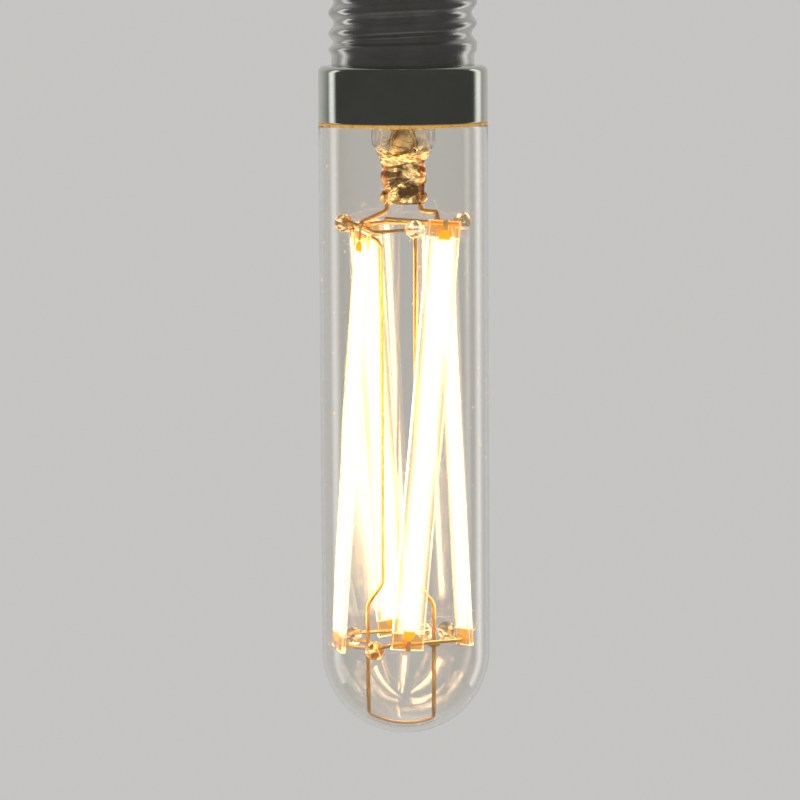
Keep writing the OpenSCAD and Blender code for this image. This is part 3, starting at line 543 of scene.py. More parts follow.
def close_winding(t, points, turns=10.0, winding_radius=2.5 * MM, height=4.0 * MM,
                  wire_radius=0.2 * MM):
    """The outer layer of a winding, close-wound on a core."""
    helix = t.node("GeometryNodeCurveSpiral", {
        "Resolution": 48, "Rotations": turns, "Start Radius": winding_radius,
        "End Radius": winding_radius, "Height": height})
    circle = t.node("GeometryNodeCurvePrimitiveCircle", {"Resolution": 10, "Radius": wire_radius},
                    mode="RADIUS")
    coil = t.node("GeometryNodeCurveToMesh", {
        "Curve": helix, "Profile Curve": circle, "Fill Caps": True})
    return t.node("GeometryNodeInstanceOnPoints", {"Points": points, "Instance": coil})


def rounded_blobs(t, points, radius=0.4 * MM, stretch=(1.0, 1.0, 1.0), unevenness=0.15, seed=7):
    """A small rounded blob at each point, such as a weld nugget or a joint of solder."""
    ball = t.node("GeometryNodeMeshIcoSphere", {"Radius": radius, "Subdivisions": 3})
    shape = t.node("GeometryNodeTransform", {"Geometry": ball, "Scale": stretch})
    size = t.random(t.math("SUBTRACT", 1.0, unevenness), seed)
    return t.node("GeometryNodeInstanceOnPoints", {
        "Points": points, "Instance": shape, "Scale": size})


def scattered_specks(t, wall, count=60, radius=0.06 * MM, seed=3):
    """Tiny bubbles scattered in a wall, each drawn out along the tube."""
    face = t.node("GeometryNodeInputMeshFaceArea")
    area = t.node("GeometryNodeAttributeStatistic", {"Geometry": wall, 2: face}, domain="FACE")
    density = t.math("DIVIDE", count, area.outputs["Sum"])
    points = t.node("GeometryNodeDistributePointsOnFaces", {
        "Mesh": wall, "Density": density, "Seed": seed}, distribute_method="RANDOM")
    ball = t.node("GeometryNodeMeshIcoSphere", {"Radius": radius, "Subdivisions": 1})
    shape = t.node("GeometryNodeTransform", {"Geometry": ball, "Scale": (1.0, 1.0, 1.6)})
    return t.node("GeometryNodeInstanceOnPoints", {
        "Points": points, "Instance": shape, "Scale": t.random(0.4, seed)})


def rolled_thread(t, blank, pitch=3.629 * MM, depth=0.95 * MM, top=0.0, bottom=-0.02,
                  fade=1.6 * MM):
    """A knuckle thread rolled into thin sheet, right-handed, which fades at both ends."""
    x, y, z = t.axes(t.node("GeometryNodeInputPosition"))
    phase = t.math("MULTIPLY", t.math("DIVIDE", z, pitch), 2 * math.pi)
    wave = t.math("COSINE", t.math("SUBTRACT", phase, t.math("ARCTAN2", y, x)))
    low = t.math("MULTIPLY_ADD", wave, -0.5, 0.5)
    near = t.math("MINIMUM", t.math("SUBTRACT", top, z), t.math("SUBTRACT", z, bottom))
    inward = t.math("MULTIPLY", t.math("MULTIPLY", low, t.ramp(near, 0.0, fade)), depth)
    unit = t.node("ShaderNodeVectorMath", {0: t.joined(x, y)}, operation="NORMALIZE")
    back = t.node("ShaderNodeVectorMath", {0: unit, "Scale": t.math("MULTIPLY", inward, -1.0)},
                  operation="SCALE")
    return t.node("GeometryNodeSetPosition", {"Geometry": blank, "Offset": back})


def grown(name, build, mesh, material, **inputs):
    """The plain mesh that a geometry tree makes of a starting mesh, as a new object."""
    host = new_object(name + "_host", mesh)
    modifier = host.modifiers.new("Grow", "NODES")
    modifier.node_group = geometry_tree(build)
    sockets = {item.name: item.identifier for item in modifier.node_group.interface.items_tree
               if item.in_out == "INPUT"}
    for key, value in {**inputs, "material": material}.items():
        modifier[sockets[label(key)]] = value
    depsgraph = bpy.context.evaluated_depsgraph_get()
    result = bpy.data.meshes.new_from_object(
        host.evaluated_get(depsgraph), preserve_all_data_layers=True, depsgraph=depsgraph)
    host.modifiers.remove(modifier)
    bpy.data.objects.remove(host)
    result.name = name
    if not result.polygons:
        raise RuntimeError(f"{name} came out empty")
    return new_object(name, result)


def wire(name, paths, r, bend, material, sides=20):
    """One piece of drawn wire along each path, with rounded corners."""
    mesh = bpy.data.meshes.new("path")
    points, edges = [], []
    for path in paths:
        first = len(points)
        points += [tuple(p) for p in path]
        edges += [(first + i, first + i + 1) for i in range(len(path) - 1)]
    mesh.from_pydata(points, edges, [])
    return grown(name, drawn_wire, mesh, material, radius=r, bend_radius=bend + r,
                 bend_steps=10, sides=sides)


def blobs(name, points, r, material, stretch=(1.0, 1.0, 1.0), unevenness=0.2, seed=7):
    """A rounded blob at each point."""
    return grown(name, rounded_blobs, scattered(points), material, radius=r, stretch=stretch,
                 unevenness=unevenness, seed=seed)


def merged(name, parts):
    """Several objects joined into one piece."""
    bm = bmesh.new()
    materials = []
    for part in parts:
        base = len(bm.faces)
        slots = list(part.data.materials)
        bm.from_mesh(part.data)
        bm.faces.ensure_lookup_table()
        for face in bm.faces[base:]:
            material = slots[face.material_index] if slots else None
            if material not in materials:
                materials.append(material)
            face.material_index = materials.index(material)
        bpy.data.objects.remove(part)
    mesh = bpy.data.meshes.new(name)
    bm.to_mesh(mesh)
    bm.free()
    for material in materials:
        mesh.materials.append(material)
    return new_object(name, mesh)


def fitted(piece, slot, *nodes, material=None):
    """Fixes a finished piece to the lamp, in place of the plain solids that it stands for."""
    if material is not None:
        piece.data.materials.clear()
        piece.data.materials.append(material)
    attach(piece, BODY)
    if nodes:
        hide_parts(*nodes)


# The cage's layout

class Strip:
    """One filament's place: its ends, and its own axes along, out and across."""

    def __init__(self, index, cage, upper_r, lower_r):
        top_z = LIP_Z - cage.drop + cage.lift[index]
        upper_angle = 90 * index + math.degrees(cage.twist)
        lower_angle = 90 * index + cage.turn[index]
        self.top = around(upper_angle, upper_r, top_z)
        foot = around(lower_angle, lower_r, 0.0) - Vector((cage.lean, 0, 0))
        flat = math.hypot(self.top.x - foot.x, self.top.y - foot.y)
        self.foot = Vector((foot.x, foot.y, top_z - math.sqrt(cage.strip_length ** 2 - flat ** 2)))
        self.up = (self.top - self.foot).normalized()
        out = around((upper_angle + lower_angle) / 2, 1.0, 0.0)
        self.out = (out - out.dot(self.up) * self.up).normalized()
        self.across = self.up.cross(self.out)
        self.centre = (self.top + self.foot) / 2

    def at(self, across, out, up):
        """A point in the strip's own axes, from its middle."""
        return self.centre + across * self.across + out * self.out + up * self.up

    def matrix(self):
        """The strip's axes as a matrix, with X across, Y out and Z along."""
        turn = Matrix((self.across, self.out, self.up)).transposed().to_4x4()
        return Matrix.Translation(self.centre) @ turn


class Cage:
    """Where the strips, the beads and every wire of the cage go."""

    def __init__(self, scene):
        self.sizes = cage = scene.lamp_cage
        self.glass = glass = scene.lamp_glass
        bore_r = TUBE_R - glass.wall
        half = cage.strip_w / 2
        across = half * math.cos(cage.twist / 2)
        out = half * math.sin(cage.twist / 2) + cage.strip_t / 2
        lower_r = math.sqrt((bore_r - cage.corner_gap) ** 2 - across ** 2) - out - cage.lean
        self.strips = [Strip(k, cage, bore_r - cage.upper_gap, lower_r) for k in range(4)]
        self.behind = -cage.strip_t / 2 - SEAT - cage.ring_r
        self.upper_up = [cage.strip_length / 2 - inset for inset in cage.upper_inset]
        self.lower_up = -cage.strip_length / 2 + cage.lower_inset
        self.clip_half = cage.clip_w / 2 + 0.8 * MM
        self.past = half + 0.5 * MM
        self.foot_z = sum(s.foot.z for s in self.strips) / 4
        self.dome_z = DOME_END_Z + TUBE_R
        self.bore_r = bore_r
        self.place_beads(half)
        self.place_support()
        self.place_rings(half)
        self.place_leads()

    def upper(self, k, across):
        """A point on the upper ring wire behind a strip."""
        return self.strips[k].at(across, self.behind, self.upper_up[k])

    def lower(self, k, across):
        """A point on the lower ring wire behind a strip."""
        return self.strips[k].at(across, self.behind, self.lower_up)

    def into_bead(self, aim, source):
        """Where a wire that comes from a point ends inside a bead."""
        return aim + (source - aim).normalized() * (self.glass.bead_r - self.sizes.bite)

    def place_beads(self, half):
        side = [self.strips[k].at(-half - 2.6 * MM, 1.4 * MM, self.upper_up[k] + 0.05 * MM)
                for k in (1, 3)]
        self.upper_right, self.upper_left = side
        r = self.glass.bead_r
        self.upper_front = self.strips[0].at(-half - 0.6 * MM - r, self.behind + 0.35 * MM,
                                             self.upper_up[0] - r + 0.1 * MM)
        ring_r = self.bore_r - self.glass.lower_bead_gap
        z = self.foot_z + 0.6 * MM
        self.lower_z = z
        self.lower_front_left = around(-29.4, ring_r, z)
        self.lower_left = around(-119.4, ring_r, z)
        self.lower_right = around(136.8, ring_r, z + 0.5 * MM)
        self.lower_rear = around(160.6, ring_r, z)
        self.ring_aim = upward(0.35 * MM)
        self.cross_aim = upward(-0.5 * MM)

    def place_support(self):
        left_x, right_x = -4.0 * MM, 1.9 * MM
        self.left_foot_x, self.right_foot_x = -6.8 * MM, 5.0 * MM
        spread_top = self.foot_z + 11.2 * MM
        spread_end = self.foot_z + 7.4 * MM
        r = self.bore_r - self.sizes.support_r - SEAT
        start, end = math.asin(self.left_foot_x / r), math.asin(self.right_foot_x / r)
        steps = 24
        floor = [Vector((r * math.sin(a), 0, self.dome_z - r * math.cos(a)))
                 for a in (start + (end - start) * i / steps for i in range(steps + 1))]
        self.left_elbow = Vector((left_x, self.upper_left.y + 0.9 * MM,
                                  self.upper_left.z - 3.4 * MM))
        entry = self.into_bead(self.upper_left + self.cross_aim, self.left_elbow)
        inside = self.glass.bead_r - self.sizes.bite
        self.support_path = [
            entry, self.left_elbow, Vector((left_x, -0.3 * MM, spread_top)),
            Vector((self.left_foot_x, 0, spread_end)), *floor,
            Vector((self.right_foot_x, 0, spread_end)), Vector((right_x, -0.3 * MM, spread_top)),
            self.upper_front - upward(3.2 * MM), self.upper_front - upward(inside)]

    def place_rings(self, half):
        up, low, into = self.upper, self.lower, self.into_bead
        past, clip = self.past, self.clip_half
        right, left = self.upper_right + self.ring_aim, self.upper_left + self.ring_aim
        front, middle, low_right, rear = (bead + self.ring_aim for bead in (
            self.lower_front_left, self.lower_left, self.lower_right, self.lower_rear))
        through = (low(2, clip) - low(3, -clip)).normalized() * (self.glass.bead_r + 0.5 * MM)
        self.ring_paths = {
            ("upper", "front"): [
                up(0, -half - 8 * MM), up(0, past), into(right, up(0, past))],
            ("upper", "rear"): [
                into(right, up(1, -past)), up(1, -past), up(1, past), up(2, -past), up(2, past),
                into(left, up(2, past))],
            ("upper", "left"): [
                into(left, up(3, -past)), up(3, -past), up(3, past),
                into(self.upper_front, up(3, past))],
            ("lower", "front"): [
                into(front, low(0, -clip)), low(0, -clip), low(0, clip), low(1, -clip),
                low(1, past), into(low_right, low(1, past))],
            ("lower", "rear"): [
                into(front, low(3, clip)), low(3, clip), low(3, -clip), middle - through,
                middle + through, low(2, clip), low(2, -clip), into(rear, low(2, -clip))]}
        z = self.lower_z + self.cross_aim.z
        beside = self.sizes.support_r + self.sizes.ring_r + SEAT
        foot = Vector((self.left_foot_x + beside, 0, self.lower_z))
        turn = (foot - self.lower_front_left).angle(self.lower_left - foot)
        cut = (self.sizes.bend + self.sizes.ring_r) * (1 / math.cos(turn / 2) - 1) + 2 * SEAT
        crossing = Vector((foot.x + cut, 0, z))
        self.left_crossing = crossing
        self.right_crossing = Vector((self.right_foot_x + beside, -0.9 * MM, z))
        self.rear_crossing = Vector((self.right_foot_x - beside, -0.9 * MM, z))
        self.cross_paths = [
            [into(self.lower_front_left + self.cross_aim, crossing), crossing,
             into(self.lower_left + self.cross_aim, crossing)],
            [into(self.lower_right + self.cross_aim, self.right_crossing), self.right_crossing],
            [into(self.lower_rear + self.cross_aim, self.rear_crossing), self.rear_crossing]]

    def place_leads(self):
        sizes, glass = self.sizes, self.glass
        x = sizes.lead_spacing / 2
        self.press_top_z = LIP_Z - glass.stem_reach - glass.stem_taper
        self.seal_top_z = self.press_top_z - 0.3 * MM
        self.seal_end_z = self.seal_top_z - 3.8 * MM
        bend_z = PRESS_END_Z - 1.1 * MM
        over = upward(sizes.ring_r + sizes.lead_r + SEAT)
        self.left_landing = self.upper(3, -sizes.strip_w / 2 + 0.4 * MM) + over
        beside_clip = sizes.clip_w / 2 + sizes.lead_r + 0.1 * MM
        self.right_landing = self.upper(0, -beside_clip) + over
        self.lead_paths = {side: [
            Vector((side * x, 0, self.seal_end_z)), Vector((side * x, 0, bend_z)),
            landing + Vector(bow) * MM, landing] for side, landing, bow in (
                (-1, self.left_landing, (1.6, 2.6, 0.5)),
                (1, self.right_landing, (-0.1, 0.9, 1.0)))}
        y = -glass.exhaust_r - 0.8 * MM
        self.outer_paths = {side: [
            Vector((side * x, 0, self.seal_top_z)), Vector((side * x, 0, self.seal_top_z + MM)),
            Vector((side * 0.9 * MM, y, LIP_Z + MM)), Vector((side * LEAD_PAD_X, y, LEAD_PAD_Z)),
            Vector((side * LEAD_PAD_X, FRONT_Y, LEAD_PAD_Z))] for side in (-1, 1)}


# Materials

def shader_group(build):
    """The shader group that a function describes, built the first time it is asked for."""
    name = label(build.__name__)
    if name in bpy.data.node_groups:
        return bpy.data.node_groups[name]
    tree = bpy.data.node_groups.new(name, "ShaderNodeTree")
    labels = add_inputs(tree, build)
    given = tree.nodes.new("NodeGroupInput").outputs
    t = Maker(tree)
    results = build(t, *(given[name] for name in labels))
    for name, socket in results.items():
        kind = "Color" if socket.type == "RGBA" else "Float"
        tree.interface.new_socket(name, in_out="OUTPUT", socket_type="NodeSocket" + kind)
    t.node("NodeGroupOutput", results)
    return tree


def surface_variation(t, colour=(0.5, 0.5, 0.5, 1), second_colour=(0.4, 0.4, 0.4, 1), scale=300.0,
                      amount=0.5, roughness=0.4, spread=0.1, grain_scale=3000.0):
    """Blotches of a second colour, uneven gloss and fine grain, in the object's own space."""
    place = t.place()
    blotch = t.noise(place, scale, Detail=5.0, Roughness=0.6)
    grain = t.noise(place, grain_scale, Detail=3.0)
    mask = t.math("MULTIPLY", t.ramp(blotch, 0.38, 0.66), amount)
    centred = t.math("SUBTRACT", blotch, 0.5)
    return {"Colour": t.mix(mask, colour, second_colour),
            "Roughness": t.math("MULTIPLY_ADD", centred, spread, roughness),
            "Height": t.math("MULTIPLY_ADD", blotch, 0.5, grain)}


def drawn_wire_marks(t, colour=(0.6, 0.5, 0.3, 1), second_colour=(0.4, 0.3, 0.1, 1), amount=0.5,
                     roughness=0.25, spread=0.15):
    """Long fine marks that a die leaves on wire, along the wire's own length."""
    along = t.attribute("along")
    turn = t.math("MULTIPLY", t.attribute("round"), 2 * math.pi)
    across, up = t.math("COSINE", turn), t.math("SINE", turn)
    marks, stain = (
        t.noise(t.joined(across, up, t.math("MULTIPLY", along, stretch)), scale, Detail=detail)
        for stretch, scale, detail in ((90.0, 5.0, 4.0), (420.0, 1.0, 3.0)))
    mask = t.math("MULTIPLY", t.ramp(stain, 0.4, 0.65), amount)
    centred = t.math("SUBTRACT", marks, 0.5)
    return {"Colour": t.mix(mask, colour, second_colour),
            "Roughness": t.math("MULTIPLY_ADD", centred, spread, roughness), "Height": marks}


def glass_flaws(t, tint=(1, 1, 1, 1), deep_tint=(1, 0.9, 0.8, 1), wave_scale=60.0, stretch=0.2,
                roughness=0.0, haze=0.02):
    """Faint waves drawn out along the tube, and streaks of a slightly deeper tint."""
    drawn = t.node("ShaderNodeMapping", {"Vector": t.place(),
                                         "Scale": t.joined(1.0, 1.0, stretch)})
    wave = t.noise(drawn, wave_scale, Detail=2.0, Roughness=0.4)
    mask = t.ramp(wave, 0.45, 0.75)
    return {"Colour": t.mix(mask, tint, deep_tint),
            "Roughness": t.math("MULTIPLY_ADD", mask, haze, roughness), "Height": wave}


def caught_light(t, tint=(1, 0.9, 0.6, 1), dark_tint=(0.4, 0.25, 0.1, 1),
                 clear_tint=(1, 0.95, 0.9, 1), light=(1, 0.7, 0.3, 1), scale=500.0, glints=0.8,
                 glow=0.2, darkness=0.7, fade_from=1.0, fade_to=0.5):
    """Painted light and painted shade for worked glass: patches of warm light with bright swirls
    in them, and dark patches between, as lumpy glass over a bright lamp shows them. Both fade out
    with height."""
    place = t.place()
    flow = t.node("ShaderNodeMapping", {"Vector": place, "Scale": (0.8, 0.8, 1.5)})
    swirl = t.noise(flow, scale, Detail=2.0, Distortion=1.8)
    patch = t.noise(flow, t.math("MULTIPLY", scale, 0.5), Detail=4.0, Distortion=1.6)
    off = t.math("ABSOLUTE", t.math("SUBTRACT", swirl, 0.52))
    bright = t.ramp(patch, 0.50, 0.60)
    swirls = t.math("MULTIPLY", t.math("MULTIPLY", t.ramp(off, 0.05, 0.0), bright), glints)
    lit = t.math("MULTIPLY_ADD", bright, glow, swirls)
    # The fade follows the filaments' light from below: higher up, the painted light, the painted
    # shade and the warm tint give way to the clear tint.
    fade = t.ramp(t.axes(place)["Z"], fade_from, fade_to)
    shade = t.math("MULTIPLY", t.ramp(patch, 0.52, 0.46), darkness)
    worked = t.mix(shade, tint, dark_tint)
    return {"Tint": t.mix(fade, clear_tint, worked),
            "Light": t.mix(t.math("MULTIPLY", lit, fade, clamp=True), (0, 0, 0), light)}


def filament_light(t, core=(1, 0.8, 0.5, 1), tip=(0.4, 0.15, 0.01, 1), tip_length=1.5 * MM,
                   fade=1.6 * MM, half_width=1.15 * MM, side_dimming=0.6, chip_pitch=2.6 * MM):
    """Light that is dim and orange at a filament's ends and sides, and white-hot between."""
    side, along, _ = t.axes(t.attribute("place", "Vector"))
    lit = t.ramp(along, tip_length, t.math("ADD", tip_length, fade))
    hot = t.ramp(t.math("DIVIDE", side, half_width), 0.45, 1.0, 1.0, 0.0)
    level = t.math("MULTIPLY_ADD", hot, side_dimming, t.math("SUBTRACT", 1.0, side_dimming))
    beat = t.math("MULTIPLY", t.math("DIVIDE", along, chip_pitch), 2 * math.pi)
    chips = t.math("MULTIPLY_ADD", t.math("COSINE", beat), -0.06, 0.94)
    mask = t.math("MULTIPLY", t.math("MULTIPLY", lit, level), chips)
    return {"Colour": t.mix(mask, tip, core)}


def plate_light(t, glow=(1, 0.75, 0.4, 1), edge=(1, 0.9, 0.7, 1), end=(0.2, 0.08, 0.01, 1),
                tint=(1, 0.9, 0.7, 1), end_tint=(1, 0.7, 0.4, 1), coat_half_width=1.15 * MM,
                half_width=3.0 * MM, half_thickness=0.4 * MM, line_width=0.16 * MM,
                end_length=3.0 * MM):
    """Light that a clear plate guides: strong by the coat, a bright line along each edge and
    across the plate near its ends, and dim amber ends."""
    side, along, out = t.axes(t.attribute("place", "Vector"))
    inner = t.math("SUBTRACT", half_width, line_width)
    rim = t.ramp(t.math("ABSOLUTE", out), t.math("SUBTRACT", half_thickness, line_width),
                 half_thickness)
    corner = t.math("MULTIPLY", t.ramp(side, inner, half_width), rim)
    tip = t.ramp(along, 0.0, line_width, 1.0, 0.0)
    from_line = t.math("ABSOLUTE", t.math("SUBTRACT", along, end_length))
    line = t.ramp(from_line, 0.0, line_width, 0.8, 0.0)
    lines = t.math("MAXIMUM", t.math("MAXIMUM", corner, tip), line)
    past = t.math("GREATER_THAN", along, end_length)
    inside = t.math("MULTIPLY", t.ramp(from_line, 0.0, line_width), past)
    near = t.ramp(side, coat_half_width, inner, 1.0, 0.12)
    zone = t.mix(inside, end, t.mix(1.0, glow, near, "MULTIPLY"))
    return {"Light": t.mix(lines, zone, edge), "Tint": t.mix(past, end_tint, tint)}


def new_material(name, values=None):
    """A material of one Principled shader with values on its sockets."""
    material = bpy.data.materials.new(name)
    material.use_nodes = True
    t = Maker(material.node_tree)
    return material, t, t.feed(t.tree.nodes["Principled BSDF"], values or {})


def lay_skin(t, shader, build, values, bump):
    """Feeds a shader the colour, the gloss and the relief that a group puts out."""
    skin = t.group(build, values)
    t.feed(shader, {"Base Color": skin["Colour"], "Roughness": skin["Roughness"],
                    "Normal": t.relief(skin["Height"], bump)})


def once(build):
    """Builds a material of a name only the first time it is asked for."""
    def asked(name, *values, **more):
        return bpy.data.materials.get(name) or build(name, *values, **more)
    return asked


@once
def surface(name, colour, second, amount=0.5, scale=300.0, roughness=0.4, spread=0.15,
            grain=3000.0, bump=0.01 * MM, **constants):
    """A material whose colour, gloss and relief vary over the surface."""
    material, t, shader = new_material(name, {
        key.replace("_", " "): value for key, value in constants.items()})
    lay_skin(t, shader, surface_variation, {
        "Colour": colour, "Second Colour": second, "Amount": amount, "Scale": scale,
        "Roughness": roughness, "Spread": spread, "Grain Scale": grain}, bump)
    return material


@once
def drawn_metal(name, colour, second, amount=0.5, roughness=0.25, spread=0.2, metallic=1.0,
                glow=(1.0, 1.0, 1.0), glow_strength=0.0):
    """A material for drawn wire. Its glow is painted light, standing for light that glass leads to
    it.
    """
    material, t, shader = new_material(name, {
        "Metallic": metallic, "Emission Color": glow, "Emission Strength": glow_strength})
    lay_skin(t, shader, drawn_wire_marks, {
        "Colour": colour, "Second Colour": second, "Amount": amount, "Roughness": roughness,
        "Spread": spread}, 0.02 * MM)
    return material


@once
def glass(name, tint, deep, wave=60.0, stretch=0.2, haze=0.02, bump=0.02 * MM, ior=1.5,
          caught=None, catch=1.0):
    """Clear glass that lets light through to what it encloses. The filaments' light in the glass
    is painted on it as light and shade, whose values are given for the group that paints it."""
    material, t, shader = new_material(name, {
        "Metallic": 0.0, "Transmission Weight": 1.0, "IOR": ior, "Roughness": 0.0})
    flaws = t.group(glass_flaws, {
        "Tint": tint, "Deep Tint": deep, "Wave Scale": wave, "Stretch": stretch, "Haze": haze})
    t.feed(shader, {"Base Color": flaws["Colour"], "Normal": t.relief(flaws["Height"], bump)})
    if haze:
        t.feed(shader, {"Roughness": flaws["Roughness"]})
    # Painted light and painted shade: emission for the glints and glow, and a tint with dark
    # patches.
    if caught:
        swirls = t.group(caught_light, {"Tint": flaws["Colour"], **caught})
        t.feed(shader, {"Base Color": swirls["Tint"], "Emission Color": swirls["Light"],
                        "Emission Strength": catch})
    let_light_through(t, shader, 0.85)
    return material


def let_light_through(t, shader, shade):
    """Mixes a transparent shader in for shadow rays, as thin clear glass throws no dark shadow."""
    clear = t.node("ShaderNodeBsdfTransparent", {"Color": (shade, shade, shade)})
    t.blended(t.node("ShaderNodeLightPath").outputs["Is Shadow Ray"], shader, clear)


def lit_phosphor(finish):
    """The phosphor coat, lit."""
    material, t, shader = new_material("Lit Phosphor", {
        "Emission Strength": finish.strength, "IOR": 1.42})
    light = t.group(filament_light, {"Core": finish.core, "Tip": finish.tip})
    t.feed(shader, {"Emission Color": light["Colour"]})
    lay_skin(t, shader, surface_variation, {
        "Colour": (0.84, 0.43, 0.03), "Second Colour": (0.70, 0.31, 0.015), "Amount": 0.6,
        "Scale": 900.0, "Roughness": 0.45, "Spread": 0.2, "Grain Scale": 6000.0}, 0.02 * MM)
    return material


def lit_strip(finish):
    """The clear plate under the phosphor, lit from within."""
    material, t, shader = new_material("Lit Strip Glass", {
        "Transmission Weight": 1.0, "IOR": 1.5, "Emission Strength": 1.0})
    light = t.group(plate_light, {
        "Glow": finish.plate_glow, "Edge": finish.plate_edge, "End": finish.plate_end,
        "Tint": finish.plate_tint, "End Tint": finish.plate_amber})
    flaws = t.group(glass_flaws, {
        "Wave Scale": 300.0, "Stretch": 0.3, "Roughness": 0.02, "Haze": 0.05})
    t.feed(shader, {"Base Color": light["Tint"], "Emission Color": light["Light"],
                    "Roughness": flaws["Roughness"],
                    "Normal": t.relief(flaws["Height"], 0.01 * MM)})
    let_light_through(t, shader, 0.9)
    return material


def tinned_lead(finish):
    """The tinned wire of the outer leads and of the driver's parts."""
    return drawn_metal("Tinned Lead", finish.tin, (0.4, 0.38, 0.34), roughness=0.3)


def cage_metal(finish):
    """The cage's wire, whose golden colour is partly painted warm light from the filaments."""
    return drawn_metal("Cage Wire", finish.wire, finish.wire_stain, amount=0.6,
                       roughness=0.22, spread=0.25, metallic=0.5)


# Operators

class LampOperator(bpy.types.Operator):
    """What every step of the lamp has in common"""
    bl_options = {"REGISTER", "UNDO"}


class LAMP_OT_envelope(LampOperator):
    """Blow the glass tube with its neck, shoulder and dome, and the specks in its wall"""
    bl_idname = "lamp.envelope"
    bl_label = "Glass Tube"

    def execute(self, context):
        g = context.scene.lamp_glass
        finish = context.scene.lamp_finish
        bore_r = TUBE_R - g.wall
        shoulder, hollow, hollow_r = neck_curves(g)
        inner_r = hollow_r + g.wall * 0.55
        meet = math.degrees(math.asin(min(1.0, max(0.0, hollow[0] - bore_r) / inner_r)))
        dome_z = DOME_END_Z + TUBE_R
        rim = [(g.neck_r - g.wall / 2 + g.wall / 2 * math.cos(a), NECK_TOP_Z - g.wall / 2 *
                (1 - math.sin(a))) for a in (math.pi * i / 8 for i in range(9))]
        top_z = hollow[1] - inner_r
        straight = [top_z + (dome_z - top_z) * i / 24 for i in range(25)]
        profile = arc((0, dome_z), TUBE_R, -90, 0, 56)
        profile += [(TUBE_R, z) for z in straight[::-1][1:-1]]
        profile += arc(shoulder, g.shoulder_rounding, 0, 90, 12)
        profile += arc(hollow, hollow_r, -90, -180, 16)
        profile += rim
        profile += arc(hollow, inner_r, -180, -90 - meet, 16)
        profile += [(bore_r, z) for z in straight[1:]]
        profile += arc((0, dome_z), bore_r, 0, -90, 56)[1:]
        profile[0] = (0.0, profile[0][1])
        profile[-1] = (0.0, profile[-1][1])
        clear = glass("Clear Tube Glass", finish.glass, finish.glass_deep, wave=55.0,
                      stretch=0.12, haze=0.0, bump=0.03 * MM, ior=1.7)
        fitted(revolved("tube_glass", profile, 192, closed=False), "clear_glass",
               "glass_envelope", material=clear)
        wall_r = TUBE_R - g.wall / 2
        middle = [(0.0, dome_z - wall_r)] + arc((0, dome_z), wall_r, -85, 0, 12)
        middle += [(wall_r, straight[0] - 4 * MM)]
        host = revolved("wall_middle", middle, 48, closed=False)
        # The specks' warm colour and their emission are painted glints of the filaments' light in
        # the bubbles.
        lit = surface("Lit Speck", (1.0, 0.78, 0.42), (0.9, 0.55, 0.2), scale=900.0,
                      roughness=0.3, Emission_Color=(1.0, 0.55, 0.18, 1.0),
                      Emission_Strength=0.8)
        specks = grown("tube_specks", scattered_specks, host.data.copy(), lit,
                       count=g.specks, radius=0.15 * MM, seed=11)
        bpy.data.objects.remove(host)
        fitted(specks, "clear_glass")
        return {"FINISHED"}


def round_section(z, r):
    """A round section for squared_ring."""
    return z, r, r, r


def squared_ring(bm, section, sides, lumps=None):
    """A ring of vertices on a section given as height, half width, half depth, corner radius."""
    z, half_w, half_d, corner = section
    power = 2.0 + 2.4 * max(0.0, 1.0 - corner / min(half_w, half_d))
    ring = []
    for j in range(sides):
        a = 2 * math.pi * j / sides
        c, s = math.cos(a), math.sin(a)
        r = (abs(c / half_w) ** power + abs(s / half_d) ** power) ** (-1 / power)
        p = Vector((r * c, r * s, z))
        ring.append(bm.verts.new(lumps(p) if lumps else p))
    return ring


def smoothed(sections, per_span):
    """Sections with more between them, on a smooth curve through the given ones."""
    rows = []
    last = len(sections) - 1
    for i in range(last):
        before, a, b, after = (Vector(sections[max(0, min(last, i + k))]) for k in (-1, 0, 1, 2))
        for j in range(per_span):
            t = j / per_span
            curve = 0.5 * ((2 * a) + (b - before) * t + (2 * before - 5 * a + 4 * b - after)
                           * t ** 2 + (3 * a - before - 3 * b + after) * t ** 3)
            straight = a + (b - a) * t
            row = (curve + straight) / 2
            row[0] = straight[0]
            rows.append(tuple(row))
    rows.append(tuple(sections[-1]))
    return rows


def lumpy(amount, scale, high, low):
    """A function that pushes points of worked glass in and out between two heights."""
    def moved(p):
        fade = ease((high - p.z) / (2.5 * MM)) * ease((p.z - low) / (0.5 * MM) + 0.5)
        side = Vector((p.x, p.y, 0))
        if side.length < 1e-6 or fade <= 0:
            return p
        wave = noise.noise(p * scale) + 0.45 * noise.noise(p * scale * 2.3 + Vector((3, 1, 7)))
        return p + side.normalized() * amount * wave * fade
    return moved


